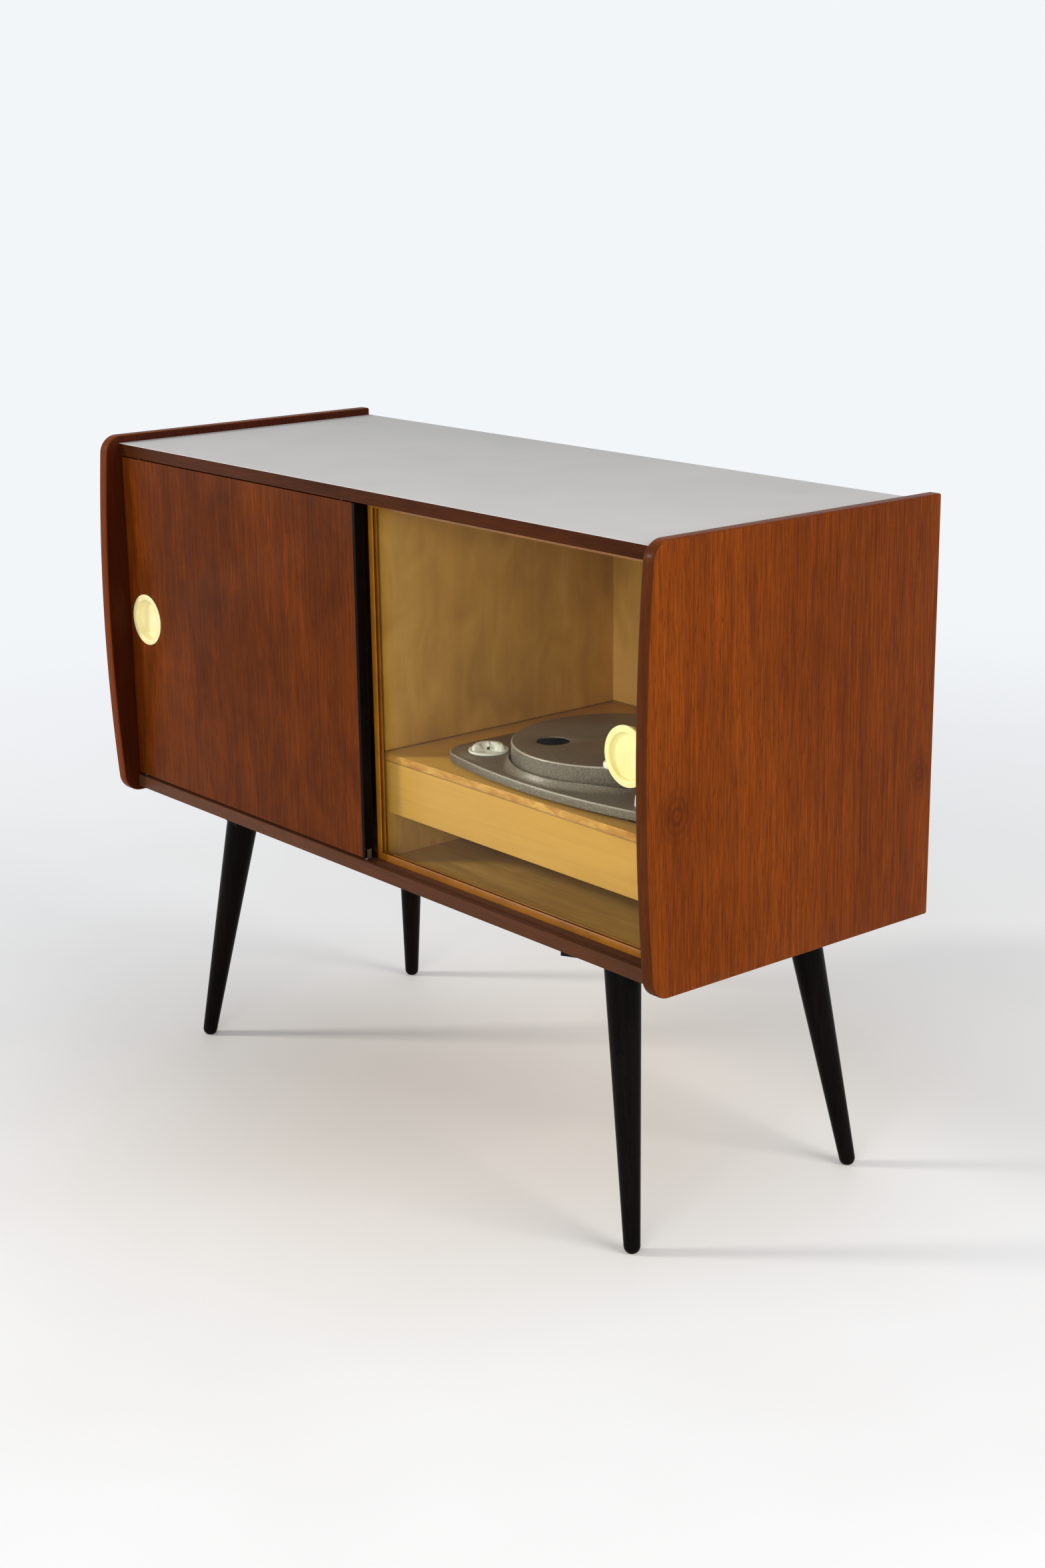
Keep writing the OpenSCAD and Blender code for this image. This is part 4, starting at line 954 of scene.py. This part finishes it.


# %% [markdown]
# The side boards are a warm brown with straight grain, with painted light that makes them lighter
# at the front and darker towards the back. Their front edges are darker, partly a darker stain and
# partly painted shade, and the left one is lifted towards orange as painted light. Their inner
# faces in front of the doors are painted a deep red-brown as painted shade, and the right board has
# two ringed knots.

# %% Veneer of the sides
KNOTS = (((0.5, -0.164, 0.503), 0.034, (1, 1.0, 0.75), 0.25),  # place, reach, squash, rings
         ((0.5, 0.183, 0.480), 0.030, (1, 1.2, 0.8), 0.2))
RINGS_PER_M = 900
veneer = Finish("veneer")
x, y, _ = veneer.xyz
# Painted light: the boards are lighter at the front and darker towards the back.
painted_falloff = veneer.clamp(y, -0.19, -0.14) * 0.08 + veneer.clamp(y, -0.1, 0.04) * 0.06 - 0.02
colour, height = wood(veneer, Z, STAIN, 0.4, drift=0.34, streak=0.2, fibre=0.62, pore=0.56,
                      blotch=0.14, stripe=0.34, shade=painted_falloff)
# Faces that turn to the front are darker, partly a darker stain and partly painted shade; the left
# board's front edge is lifted towards orange as painted light.
forwards = veneer.clamp(0 - veneer.facing(Y), 0.35, 0.75)
front, _ = wood(veneer, Z, FRONT_STAIN_AND_SHADE, 1.9, blotch=0.15)
shaded_inner, _ = wood(veneer, Z, DEEP_SHADE, 6.1, blotch=0.15)
lining, _ = wood(veneer, Z, BIRCH, 3.4, pore=0.1, blotch=0.4)
left_front_lit = veneer.mix((x < 0) * 0.16, front, paint(168, 66, 12))
colour = veneer.mix(forwards, colour, left_front_lit)
# Painted shade: the inner faces in front of the doors are made a deep red-brown.
colour = veneer.mix(between_sides(veneer), colour, shaded_inner)
colour = veneer.mix(interior_mask(veneer), colour, lining)
marks = 0
for place, reach, squash, rings in KNOTS:
    knot, size = veneer.near(place, reach, squash)
    wave = veneer.maths("SINE", size * RINGS_PER_M + height * 5)
    marks = marks + knot * (wave * rings + 0.6)
colour = veneer.mix(marks * 0.85, colour, paint(62, 22, 4))
varnish(veneer, colour, height * 0.12 + 0.4)
veneer.bump(height, 0.03, 0.4)
keep("veneer", veneer)

# %% [markdown]
# The door has the same stain on a blotchier board, and its inner end is painted near black as
# painted shade of the dark gap beside it.

# %% Veneer of the door
DOOR_SHADED_END = -0.0026  # the door's inner end starts right of this
door = Finish("veneer_door")
colour, height = wood(door, Z, DOOR_STAIN, 7.3, drift=0.55, streak=0.24, fibre=0.55, pore=0.5,
                      blotch=0.5, stripe=0.34)
# Painted shade: the door's inner end is made near black.
colour = door.mix(door.xyz[X] > DOOR_SHADED_END, colour, paint(12, 6, 4))
varnish(door, colour, height * 0.12 + 0.38, coat=0.02)
door.bump(height, 0.03, 0.4)
keep("veneer_door", door)

# %% [markdown]
# The top and bottom boards are stained darker, with the grain along the cabinet. The top board is
# made darker still, and the bottom board gets a painted pale sheen. The top's upper face is an even
# pale grey, rough enough not to mirror the lamps.

# %% Top and bottom
BETWEEN_Z = 0.5  # the top board is above this height, the bottom board below
PALE_FACE_Z = 0.7624
board = Finish("veneer_top")
colour, height = wood(board, X, DARK_STAIN, 2.1)
lining, _ = wood(board, X, BIRCH, 5.1, pore=0.1, blotch=0.4)
z = board.xyz[Z]
# The top board is made darker than the bottom one.
colour = board.mix((z > BETWEEN_Z) * 0.2, colour, paint(20, 8, 4))
# Painted sheen: the bottom board is lifted towards a pale grey-brown.
colour = board.mix((z < BETWEEN_Z) * 0.07, colour, paint(164, 134, 112))
colour = board.mix(interior_mask(board), colour, lining)
# The top's upper face is painted an even pale grey.
pale_face = z > PALE_FACE_Z
grain = board.noise(700, detail=2)
cloud = board.noise(9, detail=2)
grey = board.ramp(grain * 0.5 + cloud * 0.5, (0.3, paint(200, 198, 195)),
                  (0.7, paint(210, 208, 205)))
varnish(board, board.mix(pale_face, colour, grey), pale_face * 0.24 + grain * 0.06 + 0.36,
        coat_roughness=0.4)
board.bump(height * (1 - pale_face), 0.03, 0.4)
keep("veneer_top", board)

# %% [markdown]
# Birch lines the inside. It is pale, with small curls. The back panel's inner face gets painted
# light low down, below the top panel's shade, and a thin painted shadow line runs where the deck
# meets the divider and the back in the right bay.

# %% Birch
BACK_Y = (0.1965, 0.2005)  # the back panel's inner face lies between these
SHADOW_GAP_Z = 0.4641
birch = Finish("interior")
colour, height = wood(birch, Z, BIRCH, 5.2, streak=0.2, pore=0.06, blotch=0.7, fibre=0.1,
                      stripe=0.12)
x, y, z = birch.xyz
curls = birch.clamp(birch.noise(34, (1, 1, 0.6), 2, (4, 2, 7), 2.5), 0.54, 0.66)
colour = birch.mix(curls * (1 - birch.clamp(z, 0.4, 0.5)) * 0.35, colour, paint(160, 104, 48))
inner_face = (y > BACK_Y[0]) * (y < BACK_Y[1])
# Painted light: the back panel's inner face is lighter and warmer low down.
painted_low_light = (1 - birch.clamp(z, 0.47, 0.64)) * inner_face
colour = birch.mix(painted_low_light * 0.55, colour, paint(250, 206, 120))
# Painted shadow: a thin dark line where the deck meets the divider and the back.
shadow_gap = 1 - birch.clamp(((z - SHADOW_GAP_Z) * 1000) ** 2, 0.5, 1.9)
colour = birch.mix(shadow_gap * (x > 0) * (y < BACK_Y[1]) * 0.65, colour, paint(70, 42, 16))
varnish(birch, colour, height * 0.1 + 0.42, gloss=0.1, coat_roughness=0.3)
birch.bump(height, 0.006, 0.2)
keep("interior", birch)

# %% [markdown]
# The deck is the same wood under a warmer lacquer. A mottled strip covers the board's core along
# the front edge, with a dark seam below it.

# %% Deck
HONEY = tones((184, 134, 52), (206, 159, 67), (220, 177, 85))
STRIP_Y, STRIP_Z = -0.1435, 0.4541  # the strip is before and above these
SEAM_Y, SEAM_Z = -0.1425, 0.454
deck = Finish("deck_wood")
colour, height = wood(deck, X, HONEY, 9.1, drift=0.2, streak=0.2, fibre=0.1, pore=0.06,
                      blotch=0.15)
_, y, z = deck.xyz
edge_band = (y < STRIP_Y) * (z > STRIP_Z)
mottle = deck.noise(1, (46, 20, 120), 3, (3, 1, 2), 0.6) * 0.7
mottle = mottle + deck.noise(1, (110, 20, 900), 2) * 0.3
strip = deck.ramp(mottle, (0.36, paint(178, 118, 48)), (0.5, paint(204, 152, 66)),
                  (0.64, paint(222, 178, 92)))
colour = deck.mix(edge_band * 0.9, colour, strip)
seam = 1 - deck.clamp(((z - SEAM_Z) * 1000) ** 2, 0.3, 1.4)
colour = deck.mix(seam * 0.5 * (y < SEAM_Y), colour, paint(120, 76, 30))
varnish(deck, colour, height * 0.04 + 0.36, 0.25, 0.12, 0.22)
deck.bump(height, 0.001, 0.25)
keep("deck_wood", deck)

# %% [markdown]
# The legs and their blocks are black lacquer over beech, and a little brown shows along the grain.
# The dowels and cleats are bare wood.

# %% Black wood and bare wood
LACQUER = tones((3, 2, 2), (9, 6, 5), (22, 14, 10))
BARE = tones((160, 120, 80), (196, 160, 116), (220, 190, 150))
black = Finish("black_wood")
colour, height = wood(black, Z, LACQUER, 1.3, blotch=0.1)
varnish(black, colour, height * 0.15 + 0.3, 0.03, 0.025, 0.2)
black.bump(height, 0.03, 0.3)
keep("black_wood", black)

bare = Finish("dowel_wood")
colour, height = wood(bare, X, BARE, 4.4)
bare.look(Base_Color=colour, Roughness=height * 0.1 + 0.6)
bare.bump(height, 0.03, 0.4)
keep("dowel_wood", bare)

# %% [markdown]
# Hammered enamel pulls into small cells as it dries, brighter on their crowns than in the seams.
# It holds metal flake, so it is part metal. Rounded edges get a painted highlight, less on the
# collar, and the left gets a painted brown reflection of the wood.

# %% Hammered enamel
COLLAR_Z = (0.4762, 0.49)  # the collar lies between these, the platter's rim above them

hammer = Finish("hammered")
cells = hammer.node("ShaderNodeTexVoronoi", {"feature": "SMOOTH_F1"},
                    {"Vector": hammer.here, "Scale": 820, "Smoothness": 0.6}, out="Distance")
flake = hammer.noise(1800, detail=1)
slow = hammer.noise(14, detail=2)
tone = cells * -0.5 + flake * 0.35 + slow * 0.25 + 0.42
colour = hammer.ramp(tone, (0.2, paint(84, 76, 62)), (0.55, paint(116, 107, 90)),
                     (0.85, paint(148, 140, 122)))
specks = hammer.clamp(hammer.noise(1500, detail=0), 0.64, 0.76)
upwards = hammer.facing(Z)
# Painted highlight on rounded edges, weaker on the collar and stronger on the platter's shoulder.
painted_highlight = hammer.clamp(upwards, 0.15, 0.5) * (1 - hammer.clamp(upwards, 0.75, 0.97))
x, _, z = hammer.xyz
# Painted reflection: the base is browner at the left, by the wood.
colour = hammer.mix((1 - hammer.clamp(x, 0.1, 0.22)) * 0.4, colour, paint(84, 66, 44))
collar = (z > COLLAR_Z[0]) * (z < COLLAR_Z[1])
painted_highlight = painted_highlight * (1 - collar * 0.8) * (0.5 + (z > COLLAR_Z[1]) * 0.35)
colour = hammer.mix(painted_highlight, colour, paint(190, 184, 170))
colour = hammer.mix(specks * 0.6, colour, paint(206, 202, 190))
hammer.look(Base_Color=colour, Roughness=flake * 0.2 + 0.26, Metallic=0.15)
hammer.bump(1 - cells * 1.2 + flake * 0.15, 0.3, 0.35)
keep("hammered", hammer)

# %% [markdown]
# Moulded plastic is nearly even. Its life is in a soft gloss, a faint cloudiness and a fine
# ripple. One function makes all the plastics and the rubber. Painted shade darkens the adapter's
# bore, which is found by its distance from the axis.

# %% Plastics and rubber
BORE_EDGE = (2.5, 3.4)  # square of the radius where the painted shade ends, in square millimetres


def plastic(slot, dark, light, roughness, coat=0.0, ripple=0.05, shaded_bore=None):
    finish = Finish(slot)
    cloud = finish.noise(30, detail=3)
    grit = finish.noise(400, detail=2)
    colour = finish.ramp(cloud * 0.7 + grit * 0.3, (0.3, paint(*dark)), (0.7, paint(*light)))
    if shaded_bore:
        x, y, _ = finish.xyz
        square_mm = ((x - shaded_bore.x) ** 2 + (y - shaded_bore.y) ** 2) * 1e6
        # Painted shade: the adapter's bore is darkened near the axis.
        colour = finish.mix(1 - finish.clamp(square_mm, *BORE_EDGE), colour, paint(66, 68, 60))
    finish.look(Base_Color=colour, Roughness=grit * 0.12 + roughness, Coat_Weight=coat,
                Coat_Roughness=0.12)
    finish.bump(grit, ripple, 0.3)
    keep(slot, finish)


plastic("cream_plastic", (236, 222, 160), (248, 238, 182), 0.34, 0.1)
plastic("cream_bright", (240, 226, 146), (248, 238, 164), 0.34, 0.1)
plastic("white_plastic", (236, 240, 226), (246, 250, 240), 0.3, 0.1, shaded_bore=DISH)
plastic("black_plastic", (18, 18, 19), (34, 33, 33), 0.38)
plastic("well_grey", (42, 47, 52), (56, 62, 68), 0.42)
plastic("rubber", (20, 19, 18), (38, 36, 34), 0.75, ripple=0.1)
plastic("amber_plastic", (136, 80, 8), (168, 106, 14), 0.3, 0.08)

# %% [markdown]
# Metals are bright and almost colourless, and brass is yellow. Fine scratches and a slow change of
# roughness keep them from looking like mirrors.

# %% Metals
def metal(slot, dark, light, roughness):
    finish = Finish(slot)
    scratch = finish.noise(1, (900, 60, 900), 3)
    haze = finish.noise(40, detail=3)
    colour = finish.ramp(scratch * 0.5 + haze * 0.5, (0.35, paint(*dark)), (0.65, paint(*light)))
    finish.look(Base_Color=colour, Metallic=1.0,
                Roughness=scratch * 0.15 + haze * 0.15 + roughness)
    finish.bump(scratch, 0.02, 0.3)
    keep(slot, finish)


metal("screw_steel", (140, 138, 132), (176, 174, 168), 0.25)
metal("bright_steel", (186, 186, 184), (216, 216, 214), 0.12)
metal("grey_metal", (120, 120, 118), (150, 150, 148), 0.3)
metal("brass", (170, 134, 70), (206, 170, 100), 0.22)

# %% [markdown]
# A thin pane needs no bending of light. It adds a reflection that grows at low angles, so a clear
# shader and a mirror are mixed by the angle of view, with a faint wipe mark in the mirror.

# %% Glass
glass = Finish("glass")
low_angle = glass.node("ShaderNodeLayerWeight", {}, {"Blend": 0.5}, out="Facing")
clear = glass.node("ShaderNodeBsdfTransparent", {}, {"Color": (0.97, 0.965, 0.94, 1)})
wipe = glass.noise(9, (1, 1, 3), 3)
glass.look(Base_Color=(0.9, 0.92, 0.92, 1), Metallic=1.0, Roughness=wipe * 0.04 + 0.01)
mirrored = low_angle ** 5 * 0.7 + 0.003
both = glass.node("ShaderNodeMixShader", {},
                  {0: mirrored, 1: clear, 2: Value(glass, glass.shader.outputs[0])})
glass.tree.links.new(both.socket, glass.output.inputs["Surface"])
keep("glass", glass)

# %% [markdown]
# ## Putting the finishes on
# The record lists which solid has which finish. Solids that stay visible take theirs from that
# list, and new pieces from their slot, but for three that the photo shows in a tone of their own.

# %% Assign finishes
own_finish = {"wood_door_eased": "veneer_door", "glass_pull_turned": "cream_bright",
              "player_well_shade": "well_grey"}
for subpart in frame["record"]["subparts"]:
    solid = nodes[subpart["node"]]
    solid.data.materials.clear()
    solid.data.materials.append(finishes[subpart["material_slot"]])
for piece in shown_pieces():
    if "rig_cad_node" not in piece:
        piece.data.materials.clear()
        piece.data.materials.append(finishes[own_finish.get(piece.name, piece["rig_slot"])])

# %% [markdown]
# ## Floor, room and lamps
# The cabinet stands on a pale floor that runs into a pale wall without an edge. Near the cabinet
# it takes shadows and gets a little painted warm bounce light, and further out it fades into the
# wall's own light.

# %% Floor
WALL = paint(243, 246, 249)
UNDER_CASE = (0.1, 0.75)  # distances from the middle over which the warm tint fades
INTO_WALL = (0.2, 3.0)  # and over which the floor fades into the wall

bpy.ops.mesh.primitive_plane_add(size=24)
floor = bpy.context.object
floor.name = "floor"
ground = Finish("floor")
away = ground.vectors("LENGTH", ground.here, out="Value")
tone = ground.noise(2.5, detail=2)
pale = ground.ramp(tone, (0.3, paint(247, 246, 245)), (0.7, paint(252, 252, 252)))
# Painted warm bounce light on the floor near the cabinet.
painted_bounce = (1 - ground.clamp(away, *UNDER_CASE)) * 0.5
ground.look(Base_Color=ground.mix(painted_bounce, pale, paint(236, 222, 202)), Roughness=0.6,
            Specular_IOR_Level=0.2)
bright = ground.node("ShaderNodeEmission", {}, {"Color": WALL, "Strength": 1.0})
faded = ground.node("ShaderNodeMixShader", {}, {
    0: ground.clamp(away, *INTO_WALL), 1: Value(ground, ground.shader.outputs[0]), 2: bright})
ground.tree.links.new(faded.socket, ground.output.inputs["Surface"])
floor.data.materials.append(ground.material)
print("floor", round(floor.dimensions.x), "m wide")

# %% [markdown]
# The camera, the glass and the polished faces see the pale wall. Everything else is lit from all
# around by a dimmer, slightly blue light.

# %% Room
ROOM_LIGHT = (0.93, 0.96, 1.0, 1)
ROOM_STRENGTH = 0.46

world = bpy.data.worlds.new("room")
bpy.context.scene.world = world
world.use_nodes = True
room = world.node_tree
seen = room.nodes.new("ShaderNodeBackground")
seen.inputs["Color"].default_value = WALL
soft = room.nodes["Background"]
soft.inputs["Color"].default_value = ROOM_LIGHT
soft.inputs["Strength"].default_value = ROOM_STRENGTH
rays = room.nodes.new("ShaderNodeLightPath")
sees = rays.outputs["Is Camera Ray"]
for kind in ("Is Transmission Ray", "Is Glossy Ray"):
    either = room.nodes.new("ShaderNodeMath")
    either.operation = "MAXIMUM"
    room.links.new(sees, either.inputs[0])
    room.links.new(rays.outputs[kind], either.inputs[1])
    sees = either.outputs[0]
blend = room.nodes.new("ShaderNodeMixShader")
room.links.new(sees, blend.inputs[0])
room.links.new(soft.outputs[0], blend.inputs[1])
room.links.new(seen.outputs[0], blend.inputs[2])
room.links.new(blend.outputs[0], room.nodes["World Output"].inputs["Surface"])
print("room light has strength", ROOM_STRENGTH)

# %% [markdown]
# Three soft lamps light the cabinet: a small one far at the front left, which throws the shadow of
# the bowed side on the door, and broad ones at the front right and at the right, a little behind.

# %% Lamps
AIM = Vector((0, 0, 0.5))  # the middle of the cabinet


def lamp(name, place, wide, high, power, colour):
    data = bpy.data.lights.new(name, "AREA")
    data.shape = "RECTANGLE"
    data.size, data.size_y, data.energy, data.color = wide, high, power, colour
    made = bpy.data.objects.new(name, data)
    bpy.context.collection.objects.link(made)
    made.location = place
    made.rotation_euler = (AIM - Vector(place)).to_track_quat("-Z", "Y").to_euler()
    made.visible_camera = False
    print(name, "lamp,", power, "W")


lamp("left_lamp", (-3.35, -3.6, 2.5), 0.7, 0.7, 125, (1.0, 0.98, 0.95))
lamp("front_lamp", (2.6, -3.4, 1.7), 2.6, 1.6, 72, (1.0, 0.98, 0.95))
lamp("right_lamp", (3.9, 0.9, 2.2), 2.2, 1.8, 87, (1.0, 0.98, 0.96))
bpy.context.scene.view_settings.view_transform = "Standard"
